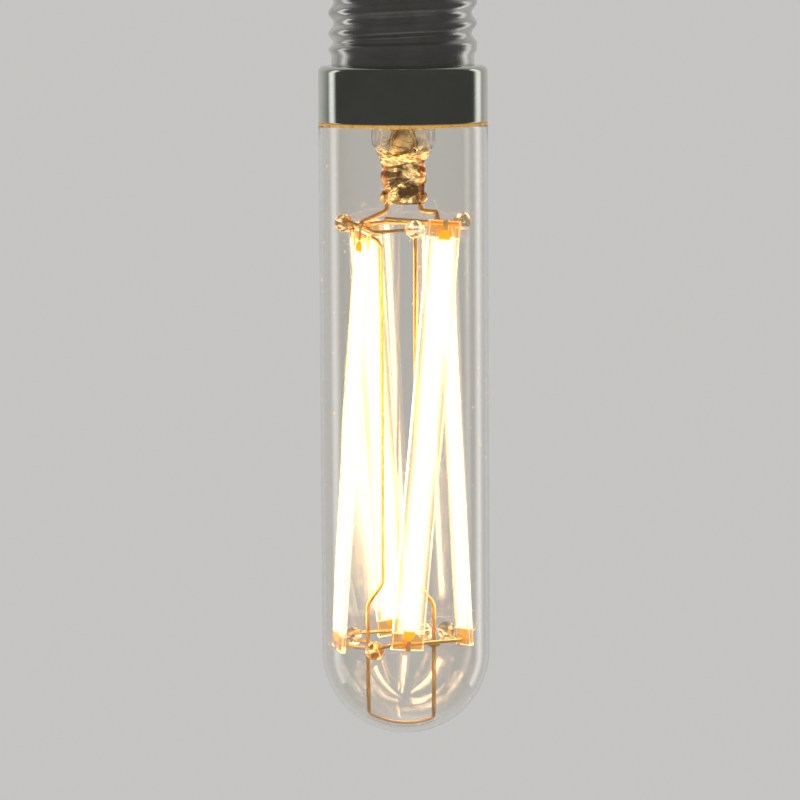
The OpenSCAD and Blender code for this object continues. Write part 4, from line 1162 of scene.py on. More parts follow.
class LAMP_OT_stem(LampOperator):
    """Flare, press and seal the glass stem with its exhaust tube"""
    bl_idname = "lamp.stem"
    bl_label = "Stem"

    def execute(self, context):
        g = context.scene.lamp_glass
        finish = context.scene.lamp_finish
        rim_z = NECK_TOP_Z + SEAT
        fall = 5.5 * MM
        neck_bore = g.neck_r - g.wall
        taper_z = LIP_Z - g.stem_reach
        press_z = taper_z - g.stem_taper
        end_z = PRESS_END_Z
        high = press_z - end_z
        w, d = g.press_w / 2, g.press_thickness / 2
        flare = [1 - i / 6 for i in range(7)]
        outer = [round_section(rim_z + 0.9 * MM, g.neck_r), round_section(rim_z, g.neck_r),
                 round_section(rim_z, neck_bore - 0.15 * MM)]
        outer += [round_section(rim_z - 0.6 * MM - fall * (1 - k),
                                g.stem_r + (neck_bore - 0.9 * MM - g.stem_r) * k ** 2)
                  for k in flare[1:]]
        worked = [round_section(taper_z + 0.5 * MM, g.stem_r),
                  (taper_z - g.stem_taper * 0.1, g.stem_r * 0.96, g.stem_r * 0.93, g.stem_r * 0.9),
                  (taper_z - g.stem_taper * 0.45, w + 0.8 * MM, d + 1.6 * MM, 3.0 * MM),
                  (taper_z - g.stem_taper * 0.75, w + 0.35 * MM, d + 0.6 * MM, 2.0 * MM),
                  (press_z, w, d, 1.5 * MM),
                  (press_z - high * 0.22, w - 0.35 * MM, d + 0.1 * MM, 1.4 * MM),
                  (press_z - high * 0.45, w - 0.1 * MM, d - 0.25 * MM, 1.3 * MM),
                  (press_z - high * 0.65, w - 0.4 * MM, d + 0.05 * MM, 1.4 * MM),
                  (end_z + 1.6 * MM, w, d + 0.15 * MM, 1.6 * MM),
                  (end_z + 0.5 * MM, w - 0.15 * MM, d, 1.5 * MM),
                  (end_z + 0.12 * MM, w - 0.6 * MM, d - 0.45 * MM, 1.1 * MM),
                  (end_z, w - 1.4 * MM, d - 1.1 * MM, 0.6 * MM)]
        outside = outer + smoothed(worked, 7)
        bore_r = g.stem_r - g.wall
        inside = [round_section(rim_z + 0.9 * MM, neck_bore)]
        inside += [round_section(rim_z + 0.6 * MM - fall * (1 - k),
                                 bore_r + (neck_bore - 0.2 * MM - bore_r) * k ** 2)
                   for k in flare]
        inside += smoothed([
            round_section(taper_z, bore_r),
            (press_z + g.stem_taper * 0.45, w - 0.3 * MM, d + 0.5 * MM, 2.2 * MM),
            (press_z + 0.5 * MM, w - MM, d - 0.4 * MM, 1.5 * MM),
            (press_z + 0.1 * MM, w - 2.2 * MM, d - MM, 0.8 * MM)], 6)
        bm = bmesh.new()
        lumps = lumpy(0.42 * MM, 480.0, press_z + 2.2 * MM, end_z)
        soft = lumpy(0.2 * MM, 600.0, press_z + 3 * MM, press_z)
        rings = [[bm.verts.new((0, 0, end_z - 0.01 * MM))]]
        rings += [squared_ring(bm, s, 88, lumps) for s in reversed(outside)]
        rings += [squared_ring(bm, s, 88, soft) for s in inside]
        rings += [[bm.verts.new((0, 0, press_z))]]
        rings_to_faces(bm, rings, False)
        # Painted light and painted shade in the worked stem: warm glints and glow, and dark
        # patches, fading out above the press.
        caught = {"Light": finish.caught, "Dark Tint": finish.stem_dark,
                  "Clear Tint": finish.stem_clear, "Scale": 460.0, "Glints": 1.0, "Glow": 0.12,
                  "Darkness": 1.0, "Fade From": taper_z + 0.5 * MM, "Fade To": press_z + MM}
        worked_glass = glass("Worked Stem Glass", finish.stem, finish.stem_deep, wave=520.0,
                             stretch=0.6, haze=0.03, bump=0.16 * MM, caught=caught, catch=1.9)
        # Fainter painted light and painted shade on the exhaust tube's trumpet.
        caught.update({"Glints": 0.25, "Glow": 0.05, "Darkness": 0.4,
                       "Fade From": taper_z + 5.5 * MM, "Fade To": taper_z + 1.5 * MM})
        tube_glass = glass("Exhaust Glass", finish.bead, finish.bead_deep, wave=200.0,
                           stretch=0.2, haze=0.0, bump=0.02 * MM, caught=caught)
        fitted(solid("stem_glass", bm, 75.0), "stem_glass", "stem", material=worked_glass)
        self.exhaust(g, press_z, tube_glass)
        self.bubbles(press_z, end_z)
        return {"FINISHED"}

    def exhaust(self, g, press_z, material):
        """The thin tube inside the stem, drawn shut at its tip. Over the press it widens to a
        trumpet, whose bore has fallen in to a narrow funnel."""
        tip_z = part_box("exhaust_tube")[1].z
        r, bore = g.exhaust_r, g.exhaust_r - g.exhaust_wall
        base_z = press_z + 0.7 * MM
        trumpet = [(1.9, 0.0), (1.6, 0.8), (1.2, 1.9), (0.8, 3.0), (0.38, 4.4), (0.12, 5.8),
                   (0.0, 7.4)]
        funnel = [(3.0, 0.0), (2.5, 0.9), (1.9, 1.9), (1.3, 3.0), (0.7, 4.4), (0.25, 5.8),
                  (0.25, 7.4), (0.9, 9.4)]
        dome = arc((0, tip_z - 2.6 * MM), r, 0, 62, 8)
        nib = [(0.45 * MM, tip_z - 0.9 * MM), (0.3 * MM, tip_z - 0.25 * MM), (0.0, tip_z)]
        profile = [(r + wide * MM, base_z + up * MM) for wide, up in trumpet] + dome + nib
        inner = arc((0, tip_z - 2.6 * MM), bore, 70, 0, 8)
        profile += [(0.0, tip_z - 1.5 * MM)] + inner
        profile += [(wide * MM, base_z + up * MM) for wide, up in reversed(funnel)]

        def flattened(p):
            """Narrows the trumpet towards the press, which is flat."""
            low = ease((base_z + 4 * MM - p.z) / (4 * MM))
            return Vector((p.x, p.y * (1 - 0.46 * low), p.z))

        fitted(revolved("exhaust_glass", profile, 48, reshape=flattened, smooth_angle=60),
               "stem_glass", "exhaust_tube", material=material)

    def bubbles(self, press_z, end_z):
        """Drawn-out bubbles caught where the press closed."""
        points = [Vector((noise.noise(Vector((i, 5, 2))) * 6.5 * MM,
                          noise.noise(Vector((i, 1, 9))) * 2.6 * MM,
                          end_z + (0.12 + 0.8 * (i / 16)) * (press_z - end_z)))
                  for i in (k + 0.37 for k in range(16))]
        air = glass("Air Bubble", (1, 1, 1), (1, 0.95, 0.86), wave=2600.0, stretch=0.6,
                    haze=0.05, bump=0.01 * MM, ior=1 / 1.5)
        fitted(blobs("press_bubbles", points, 0.24 * MM, air, stretch=(1, 1, 2.2),
                     unevenness=0.6, seed=5), "stem_glass")


class LAMP_OT_beads(LampOperator):
    """Fuse the glass beads on to the wires' ends"""
    bl_idname = "lamp.beads"
    bl_label = "Beads"

    def execute(self, context):
        g = context.scene.lamp_glass
        finish = context.scene.lamp_finish
        cage = Cage(context.scene)
        # Painted glints, glow and dark patches in the beads, in the colour of the plates' glow.
        polished = glass("Bead Glass", finish.bead, finish.bead_deep, wave=500.0, stretch=1.0,
                         haze=0.01, bump=0.03 * MM, catch=1.3, caught={
                             "Light": finish.plate_glow, "Dark Tint": finish.stem_dark,
                             "Scale": 900.0, "Glints": 1.0, "Glow": 0.45, "Darkness": 0.35})
        up, low, past, clip = cage.upper, cage.lower, cage.past, cage.clip_half
        upper = [
            (cage.upper_front, [up(3, past), cage.upper_front - upward(5 * MM),
                                up(0, 0), up(0, -2.2 * past)]),
            (cage.upper_right, [up(0, past), up(1, -past)]),
            (cage.upper_left, [up(2, past), up(3, -past), cage.left_elbow])]
        lower = [
            (cage.lower_front_left, [low(0, -clip), low(3, clip), cage.left_crossing]),
            (cage.lower_left, [low(3, -clip), low(2, clip), cage.left_crossing]),
            (cage.lower_right, [low(1, past), cage.right_crossing]),
            (cage.lower_rear, [low(2, -clip), cage.rear_crossing])]
        for name, node, beads in (("beads_upper", "upper_beads", upper),
                                  ("beads_lower", "lower_beads", lower)):
            bm = bmesh.new()
            for i, (centre, wires) in enumerate(beads):
                self.bead(bm, centre, wires, g.bead_r, i + len(name))
            fitted(solid(name, bm, 180.0), "bead_glass", node, material=polished)
        return {"FINISHED"}

    def bead(self, bm, centre, wires, r, seed):
        """One bead: a fire-polished ball that has crept a little way out along each wire."""
        ways = [(p - centre).normalized() for p in wires]
        for v in bmesh.ops.create_icosphere(bm, subdivisions=5, radius=1.0)["verts"]:
            way = v.co.normalized()
            reach = r * (1.0 + 0.03 * noise.noise(way * 1.7 + Vector((seed, 0, 0))))
            for wire_way in ways:
                off = way.angle(wire_way)
                reach += 0.34 * MM * math.exp(-(off / 0.24) ** 2)
            v.co = centre + way * reach


class LAMP_OT_collar(LampOperator):
    """Draw the plated collar and lay the cement that holds the glass in it"""
    bl_idname = "lamp.collar"
    bl_label = "Collar and Cement"

    def execute(self, context):
        c = context.scene.lamp_cap
        g = context.scene.lamp_glass
        finish = context.scene.lamp_finish
        top, wall = COLLAR_TOP_Z, c.collar_wall
        hole_r = c.skirt_r + SEAT
        bend = (COLLAR_R - c.collar_rounding, top - c.collar_rounding)
        lip = 0.28 * MM
        profile = [(hole_r, top - 0.1 * MM), (hole_r + 0.1 * MM, top)]
        profile += arc(bend, c.collar_rounding, 90, 0, 14)
        profile += [(COLLAR_R, top - 2 * MM), (COLLAR_R, LIP_Z + 2 * MM)]
        profile += arc((COLLAR_R - lip, LIP_Z + lip), lip, 0, -90, 8)
        profile += arc((COLLAR_R - wall + lip / 2, LIP_Z + lip / 2), lip / 2, -90, -180, 4)
        profile += arc(bend, c.collar_rounding - wall, 0, 90, 8)
        profile += [(hole_r, top - wall)]
        nickel = surface("Bright Nickel", finish.nickel, finish.nickel_dull, scale=160.0,
                         roughness=0.07, spread=0.10, grain=1400.0, bump=0.004 * MM,
                         Metallic=1.0)
        fitted(revolved("collar_sleeve", profile, 192, smooth_angle=50), "collar_plate",
               "collar", material=nickel)
        self.cement(c, g, finish)
        return {"FINISHED"}

    def cement(self, c, g, finish):
        """The baked cement: a filling in the collar that shows as a chipped line at its lip."""
        shoulder, hollow, hollow_r = neck_curves(g)
        top = NECK_TOP_Z - 0.4 * MM
        bore = COLLAR_R - c.collar_wall - SEAT
        foot_z = LIP_Z - g.lip_gap - 0.46 * MM
        edge_r = TUBE_R - 0.03 * MM
        profile = [(g.neck_r + SEAT, top), (bore, top), (bore, LIP_Z + 0.3 * MM),
                   (bore + 0.2 * MM, LIP_Z - SEAT), (edge_r - 0.12 * MM, LIP_Z - SEAT)]
        profile += [(edge_r, LIP_Z - (0.12 + 0.08 * i) * MM) for i in range(5)]
        profile += [(edge_r - 0.04 * MM, foot_z)]
        profile += arc(shoulder, g.shoulder_rounding + SEAT, 20, 90, 8)
        profile += arc(hollow, hollow_r - SEAT, -90, -180, 8)

        def chipped(p):
            """Breaks the outer edge, which is all that shows."""
            side = Vector((p.x, p.y, 0))
            if side.length < bore or p.z > LIP_Z:
                return p
            bite = noise.noise(side.normalized() * 14 + upward(p.z * 900))
            fine = noise.noise(p * 3500)
            pull = max(0.0, bite - 0.12) * 0.8 * MM + max(0.0, fine) * 0.07 * MM
            keep = shoulder[0] + 0.25 * MM
            r = max(keep, side.length - pull)
            ragged = max(0.0, bite) * 0.12 * MM if p.z < foot_z + SEAT else 0.0
            return side.normalized() * r + upward(p.z) + upward(ragged)

        # The cement's emission is painted warm light; its colour and darker grains are its own.
        amber = surface("Baked Cement", finish.cement, finish.cement_dark, amount=0.8,
                        scale=1600.0, roughness=0.55, spread=0.3, grain=7000.0, bump=0.05 * MM,
                        Emission_Color=(1.0, 0.52, 0.12, 1.0), Emission_Strength=0.3)
        fitted(revolved("cement_ring", profile, 384, reshape=chipped, smooth_angle=50),
               "cement", "collar_cement", material=amber)


class LAMP_OT_cap(LampOperator):
    """Roll the screw shell and fit it with its insulator and centre contact"""
    bl_idname = "lamp.cap"
    bl_label = "Screw Cap"

    def execute(self, context):
        c = context.scene.lamp_cap
        finish = context.scene.lamp_finish
        r, w = c.thread_r, c.shell_wall
        rim_z = -c.shell_rim
        shoulder_r = 1.2 * MM
        shoulder = (r - shoulder_r, rim_z - 1.75 * MM)
        flange_z = COLLAR_TOP_Z - c.collar_wall - SEAT
        thread_end = COLLAR_TOP_Z + c.skirt_length
        steps = 104
        levels = [shoulder[1] + (thread_end - shoulder[1]) * i / steps for i in range(steps + 1)]
        profile = [(r - 2.8 * MM, rim_z), (r - 1.6 * MM, rim_z - 0.25 * MM)]
        profile += arc(shoulder, shoulder_r, 70, 0, 10)
        profile += [(r, z) for z in levels[1:]]
        profile += [(c.skirt_r, SKIRT_TOP_Z), (c.skirt_r, flange_z), (c.flange_r, flange_z),
                    (c.flange_r, flange_z - w), (c.skirt_r - w, flange_z - w),
                    (c.skirt_r - w, SKIRT_TOP_Z)]
        profile += [(r - w, z) for z in reversed(levels[1:])]
        profile += arc(shoulder, shoulder_r - w, 0, 70, 10)
        profile += [(r - 1.6 * MM, rim_z - 0.25 * MM - w), (r - 2.8 * MM, rim_z - w)]
        plate = surface("Rolled Shell", finish.shell, finish.shell_dull, amount=0.6,
                        scale=220.0, roughness=0.24, spread=0.22, grain=1800.0,
                        bump=0.01 * MM, Metallic=1.0)
        blank = revolved("shell_blank", profile, 144)
        shell = grown("thread_shell", rolled_thread, blank.data.copy(), plate, pitch=c.pitch,
                      depth=c.thread_depth, top=shoulder[1] + 0.6 * MM, bottom=thread_end,
                      fade=1.7 * MM)
        bpy.data.objects.remove(blank)
        fitted(shell, "shell_metal", "screw_shell")
        self.insulator(c)
        self.contact(c, finish)
        return {"FINISHED"}

    def insulator(self, c):
        """The moulded insulator between the shell and the contact."""
        r = c.thread_r - c.shell_wall - SEAT
        rim_z = -c.shell_rim
        under_rim = rim_z - c.shell_wall - SEAT
        seat_z = -c.contact_t - SEAT
        recess = c.contact_r + 0.3 * MM
        bore = c.shank_r + SEAT
        boss = c.shank_r + 1.6 * MM
        hollow_z = -c.contact_t - 2.6 * MM
        end_z = INSULATOR_END_Z
        inner = c.thread_r - 3.1 * MM
        profile = [(bore, seat_z), (recess - 0.15 * MM, seat_z),
                   (recess, seat_z + 0.15 * MM), (recess + 0.05 * MM, -c.contact_t + 0.24 * MM),
                   (recess + 0.18 * MM, -c.contact_t + 0.3 * MM),
                   (recess + 0.7 * MM, -c.contact_t + 0.3 * MM),
                   (recess + 0.95 * MM, -c.contact_t + 0.18 * MM)]
        profile += [(inner - 0.2 * MM, rim_z + 0.22 * MM), (inner, rim_z + 0.05 * MM),
                    (inner, under_rim), (c.thread_r - 1.9 * MM, under_rim - 0.25 * MM)]
        profile += arc((c.thread_r - 1.2 * MM, rim_z - 1.75 * MM),
                       1.2 * MM - c.shell_wall - SEAT, 70, 0, 6)
        profile += [(r, end_z + 0.2 * MM), (r - 0.4 * MM, end_z), (r - 3 * MM, end_z),
                    (recess + 0.2 * MM, hollow_z), (boss, hollow_z), (boss, end_z), (bore, end_z)]
        black = surface("Moulded Insulator", (0.018, 0.018, 0.021), (0.04, 0.036, 0.034),
                        amount=0.7, scale=350.0, roughness=0.22, spread=0.3, grain=2500.0,
                        bump=0.03 * MM, Coat_Weight=0.4)
        fitted(revolved("insulator_disc", profile, 96), "insulator", "insulator",
               material=black)

    def contact(self, c, finish):
        """The centre contact: a flat button with a soft edge and a small punched centre."""
        r, t = c.contact_r, c.contact_t
        end_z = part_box("centre_contact")[0].z
        profile = [(0.0, -0.14 * MM), (0.3 * MM, -0.12 * MM), (0.5 * MM, -0.02 * MM),
                   (0.62 * MM, 0.0), (r - 0.5 * MM, 0.0)]
        profile += arc((r - 0.5 * MM, -0.5 * MM), 0.5 * MM, 80, 0, 8)
        profile += [(r, -t + 0.1 * MM), (r - 0.1 * MM, -t), (c.shank_r, -t),
                    (c.shank_r, end_z + 0.2 * MM), (c.shank_r - 0.2 * MM, end_z), (0.0, end_z)]
        metal = surface("Contact Metal", finish.contact, finish.contact_worn, amount=0.8,
                        scale=700.0, roughness=0.26, spread=0.3, grain=2400.0, bump=0.012 * MM,
                        Metallic=1.0)
        fitted(revolved("contact_button", profile, 96, closed=False), "contact_metal",
               "centre_contact", material=metal)


class LAMP_OT_cage(LampOperator):
    """Bend the support wire, the ring wires and the cross wires of the cage"""
    bl_idname = "lamp.cage"
    bl_label = "Cage Wires"

    def execute(self, context):
        s = context.scene.lamp_cage
        metal = cage_metal(context.scene.lamp_finish)
        cage = Cage(context.scene)
        for (level, side), path in cage.ring_paths.items():
            fitted(wire(f"wire_{level}_{side}", [path], s.ring_r, s.bend, metal), "cage_wire",
                   f"{level}_wire_{side}")
        fitted(wire("wire_cross", cage.cross_paths, s.ring_r, s.bend, metal), "cage_wire",
               "cross_wires")
        fitted(wire("wire_support", [cage.support_path], s.support_r, s.support_bend, metal),
               "cage_wire", "support_wire")
        feet = [Vector((cage.left_foot_x + s.support_r + SEAT, 0, cage.left_crossing.z)),
                Vector((cage.right_foot_x + s.support_r, -0.5 * MM, cage.right_crossing.z)),
                Vector((cage.right_foot_x - s.support_r, -0.5 * MM, cage.rear_crossing.z))]
        fitted(blobs("cage_welds", feet, 0.42 * MM, metal, stretch=(1, 1, 1.35), seed=3),
               "cage_wire")
        return {"FINISHED"}


class LAMP_OT_leads(LampOperator):
    """Run the leads, the seal wires in the press and the outer leads above it"""
    bl_idname = "lamp.leads"
    bl_label = "Leads and Seals"

    def execute(self, context):
        s = context.scene.lamp_cage
        finish = context.scene.lamp_finish
        cage = Cage(context.scene)
        metal = cage_metal(finish)
        tinned = tinned_lead(finish)
        # The seal wire's glow is painted light; its orange-red colour is its own.
        seal = drawn_metal("Oxidised Seal Wire", finish.seal, (0.8, 0.18, 0.02), amount=0.6,
                           roughness=0.35, metallic=0.1, glow=(1.0, 0.22, 0.02),
                           glow_strength=0.35)
        x = s.lead_spacing / 2
        sides = (("left", -1), ("right", 1))
        for side, sign in sides:
            fitted(wire(f"lead_{side}", [cage.lead_paths[sign]], s.lead_r, s.bend, metal),
                   "cage_wire", f"{side}_lead")
        for side, sign in sides:
            path = [Vector((sign * x, 0, z)) for z in (cage.seal_end_z, cage.seal_top_z)]
            fitted(wire(f"seal_{side}", [path], s.seal_r, 0.1 * MM, seal, sides=24),
                   "seal_wire", f"{side}_seal_wire")
            fitted(wire(f"outer_lead_{side}", [cage.outer_paths[sign]], s.outer_lead_r, s.bend,
                        tinned), "tinned_wire", f"{side}_outer_lead")
        drop = upward(s.lead_r * 0.7)
        knots = [cage.left_landing - drop, cage.right_landing - drop]
        fitted(blobs("lead_welds", knots, 0.55 * MM, metal, stretch=(1.1, 1.0, 0.8),
                     unevenness=0.15, seed=4), "cage_wire")
        return {"FINISHED"}


def on_strips(name, slot, material, build, smooth_angle, measure=None):
    """A piece on each strip, built in the strip's own axes. What measures its points is stored
    for the material. The axes mirror the mesh, so its faces are turned outwards again."""
    for k, strip in enumerate(Cage(bpy.context.scene).strips):
        bm = bmesh.new()
        build(bm, k)
        if measure:
            layer = bm.verts.layers.float_vector.new("place")
            for v in bm.verts:
                v[layer] = measure(v.co)
        mesh = mesh_from(f"{name}_{k + 1}", bm, smooth_angle)
        mesh.transform(strip.matrix())
        if strip.matrix().determinant() < 0:
            mesh.flip_normals()
        fitted(new_object(f"{name}_{k + 1}", mesh), slot, f"filament_{name}_{k + 1}",
               material=material)


class LAMP_OT_strips(LampOperator):
    """Cut the four clear plates that carry the filaments"""
    bl_idname = "lamp.strips"
    bl_label = "Filament Strips"

    def execute(self, context):
        s = context.scene.lamp_cage
        w, t, half = s.strip_w / 2, s.strip_t / 2, s.strip_length / 2
        b = 0.07 * MM
        flat = (b - w, 0.4 * MM - w, -1.3 * MM, 0, 1.3 * MM, w - 0.4 * MM, w - b)
        under = [(-w, b - t), *((x, -t) for x in flat), (w, b - t)]
        section = under + [(-x, -y) for x, y in under]
        ends = [0, b] + [e * MM for e in (0.5, 1.5, 2.5, 2.78, 2.86, 2.94, 3.02, 3.2, 4, 6)]
        levels = [-half + e for e in ends] + [-half + 6 * MM + (2 * half - 12 * MM) * i / 20
                                             for i in range(1, 20)]
        levels += [half - e for e in reversed(ends)]

        def plate(bm, k):
            """A plate with a small bevel on every edge."""
            rings = []
            for z in levels:
                pull = b if abs(z) == half else 0.0
                rings.append([(x - math.copysign(pull, x) * (abs(x) > w - 2 * b),
                               y - math.copysign(pull, y), z) for x, y in section])
            bar(bm, rings)

        on_strips("strip", "strip_glass", lit_strip(context.scene.lamp_finish), plate, 30.0,
                  lambda co: (abs(co.x), half - abs(co.z), co.y))
        return {"FINISHED"}


class LAMP_OT_phosphor(LampOperator):
    """Lay the phosphor coat along the middle of each strip"""
    bl_idname = "lamp.phosphor"
    bl_label = "Phosphor"

    def execute(self, context):
        s = context.scene.lamp_cage
        low = -s.strip_length / 2 + s.from_bottom
        high = s.strip_length / 2 - s.from_top
        face = s.strip_t / 2 + SEAT / 2

        def coat(bm, k):
            """A bead of phosphor with round ends."""
            bar(bm, [self.section(z, low, high, s, face, k)
                     for z in self.levels(low, high, s.phosphor_w / 2)])

        on_strips("phosphor", "phosphor", lit_phosphor(context.scene.lamp_finish), coat, 70.0,
                  lambda co: (abs(co.x), min(co.z - low, high - co.z), co.y))
        return {"FINISHED"}

    def levels(self, low, high, r):
        """Heights of the sections: close together in the round ends, then evenly."""
        tip = [r * (1 - math.cos(math.pi / 2 * (i + 0.6) / 10)) for i in range(10)]
        steps = 150
        body = [low + r + (high - low - 2 * r) * i / steps for i in range(steps + 1)]
        return [low + t for t in tip] + body + [high - t for t in reversed(tip)]

    def section(self, z, low, high, s, face, k):
        """One section of the coat: flat below and crowned above, with its dispensed edge."""
        r = s.phosphor_w / 2
        end = min(z - low, high - z)
        width = r if end >= r else math.sqrt(max(0.0, r * r - (r - end) ** 2))
        sway = noise.noise(Vector((z * 420, k * 7.3, 0)))
        width *= 1 + 0.03 * sway
        crown = s.phosphor_t * (0.93 + 0.05 * noise.noise(Vector((z * 800, k * 3.1, 5))))
        crown *= min(1.0, math.sqrt(max(0.0, end) / r) * 1.05 + 0.08)
        steps = 14
        points = []
        for i in range(steps + 1):
            x = -1 + 2 * i / steps
            points.append(Vector((x * width, face + crown * (1 - abs(x) ** 2.6) ** 0.75, z)))
        points += [Vector((0.5 * width, face, z)), Vector((-0.5 * width, face, z))]
        return points


class LAMP_OT_clips(LampOperator):
    """Fold the metal clips over the strips' ends and round the wires behind"""
    bl_idname = "lamp.clips"
    bl_label = "Clips"

    def execute(self, context):
        s = context.scene.lamp_cage
        finish = context.scene.lamp_finish
        # The clips' emission is painted warm light from the filaments; their straw-brown colours
        # are their own.
        brown = surface("Straw-brown Clip", finish.clip, finish.clip_dark, amount=0.8,
                        scale=900.0, roughness=0.4, spread=0.25, grain=5000.0,
                        bump=0.012 * MM, Metallic=0.3, Emission_Color=(1.0, 0.45, 0.10, 1.0),
                        Emission_Strength=0.18)

        def both(bm, k):
            """The clips on a strip's two ends."""
            self.clip(bm, s, s.from_top, s.upper_inset[k], 1)
            self.clip(bm, s, s.from_bottom, s.lower_inset, -1)

        on_strips("clips", "clip_metal", brown, both, 40.0)
        cage = Cage(context.scene)
        knots = [knot for k in range(4) for knot in (cage.upper(k, 0.0), cage.lower(k, 0.0))]
        fitted(blobs("clip_welds", knots, 0.47 * MM, cage_metal(finish), unevenness=0.12,
                     seed=9), "cage_wire")
        return {"FINISHED"}

    def clip(self, bm, s, to_phosphor, to_wire, way):
        """One ribbon: flat on the strip's face, over its end and round the wire behind it."""
        t = s.clip_t
        face = s.strip_t / 2 + SEAT + t / 2
        back = -s.strip_t / 2 - 2 * s.ring_r - 2 * SEAT - t / 2
        end = s.strip_length / 2 + SEAT
        tip = end + max(0.0, s.ring_r - to_wire) + t / 2
        front_end = end - to_phosphor + 0.1 * MM
        back_end = end - to_wire - s.ring_r - 0.3 * MM
        r = 0.26 * MM
        path = [Vector((face, front_end)), Vector((face, front_end + 0.35 * MM))]
        path += [Vector(p) for p in arc((face - r, tip - r), r, 0, 90, 6)]
        path += [Vector(p) for p in arc((back + r, tip - r), r, 90, 180, 6)]
        path += [Vector((back, back_end))]
        half = s.clip_w / 2
        edge = 0.04 * MM
        rings = []
        for i, p in enumerate(path):
            ahead = path[min(i + 1, len(path) - 1)] - path[max(i - 1, 0)]
            side = Vector((ahead.y, -ahead.x)).normalized() * t / 2
            narrow = 0.72 if i == 0 else 1.0
            ring = []
            for x, k in ((-half, -1), (half, -1), (half, 1), (-half, 1)):
                for inset_x, inset_t in ((edge, 0.0), (0.0, edge)) if x * k > 0 else (
                        (0.0, edge), (edge, 0.0)):
                    px = (abs(x) - inset_x) * math.copysign(narrow, x)
                    q = p + side * k * (1 - inset_t / (t / 2))
                    ring.append((px, q.x, q.y * way))
            rings.append(ring)
        bar(bm, rings)


def chip_body(bm, size, centre, legs, pitch):
    """A moulded chip with gull-wing legs above and below it."""
    block(bm, size, Matrix.Translation(centre), 0.18 * MM)
    knee = centre.y - 0.2 * MM
    foot = BOARD_HIGH.y + SEAT + 0.09 * MM
    parts = ((0.16 * MM, 0.5, knee, 0.2, 0.03), (0.16 * MM, 0.62, foot, 0.68, 0.03),
             (knee - BOARD_HIGH.y, 0.14, (knee + BOARD_HIGH.y) / 2 + SEAT, 0.42, 0.02))
    for i in range(legs):
        for side in (-1, 1):
            x = centre.x + (i - (legs - 1) / 2) * pitch
            z = centre.z + side * size[2] / 2
            for deep, high, y, out, bevel in parts:
                block(bm, (0.4 * MM, deep, high * MM),
                      Matrix.Translation((x, y, z + side * out * MM)), bevel * MM)


class LAMP_OT_board(LampOperator):
    """Make the circuit board with its solder joints and its two chips"""
    bl_idname = "lamp.board"
    bl_label = "Circuit Board"

    def execute(self, context):
        finish = context.scene.lamp_finish
        green = surface("Solder Mask", finish.board, finish.board_dark, scale=500.0,
                        roughness=0.35, spread=0.2, grain=2600.0, bump=0.02 * MM,
                        Coat_Weight=0.3)
        solder = surface("Solder", (0.62, 0.61, 0.58), (0.42, 0.41, 0.38), amount=0.6,
                         scale=900.0, roughness=0.3, spread=0.25, bump=0.02 * MM, Metallic=1.0)
        resin = surface("Chip Resin", (0.016, 0.016, 0.018), (0.035, 0.034, 0.032), amount=0.6,
                        scale=1500.0, roughness=0.5, spread=0.2, grain=9000.0, bump=0.02 * MM)
        size = BOARD_HIGH - BOARD_LOW
        bm = bmesh.new()
        block(bm, size, Matrix.Translation((BOARD_LOW + BOARD_HIGH) / 2), 0.12 * MM)
        fitted(solid("circuit_board", bm, 35.0), "board", "driver_board", material=green)
        top = BOARD_HIGH.z
        spots = [(-LEAD_PAD_X, LEAD_PAD_Z), (LEAD_PAD_X, LEAD_PAD_Z), (SHELL_PAD_X, SHELL_PAD_Z)]
        spots += [(x * MM, top - 2.4 * MM) for x in (0, -9.0, -2.2)]
        points = [Vector((x, FRONT_Y - 0.05 * MM, z)) for x, z in spots]
        fitted(blobs("board_solder", points, 0.62 * MM, solder, stretch=(1, 0.55, 1),
                     unevenness=0.12, seed=21), "tinned_wire")
        for name, node, dims, at, legs, pitch in (
                ("rectifier_chip", "bridge_rectifier", (4.7, 1.5, 3.9), (-4.0, 4.5), 2, 2.54),
                ("control_chip", "driver_chip", (4.9, 1.5, 3.9), (3.4, 8.5), 4, 1.27)):
            bm = bmesh.new()
            centre = Vector((at[0] * MM, BOARD_HIGH.y + SEAT + (0.15 + dims[1] / 2) * MM,
                             top - at[1] * MM))
            chip_body(bm, [d * MM for d in dims], centre, legs, pitch * MM)
            fitted(solid(name, bm, 30.0), "chip_resin", node, material=resin)
        return {"FINISHED"}


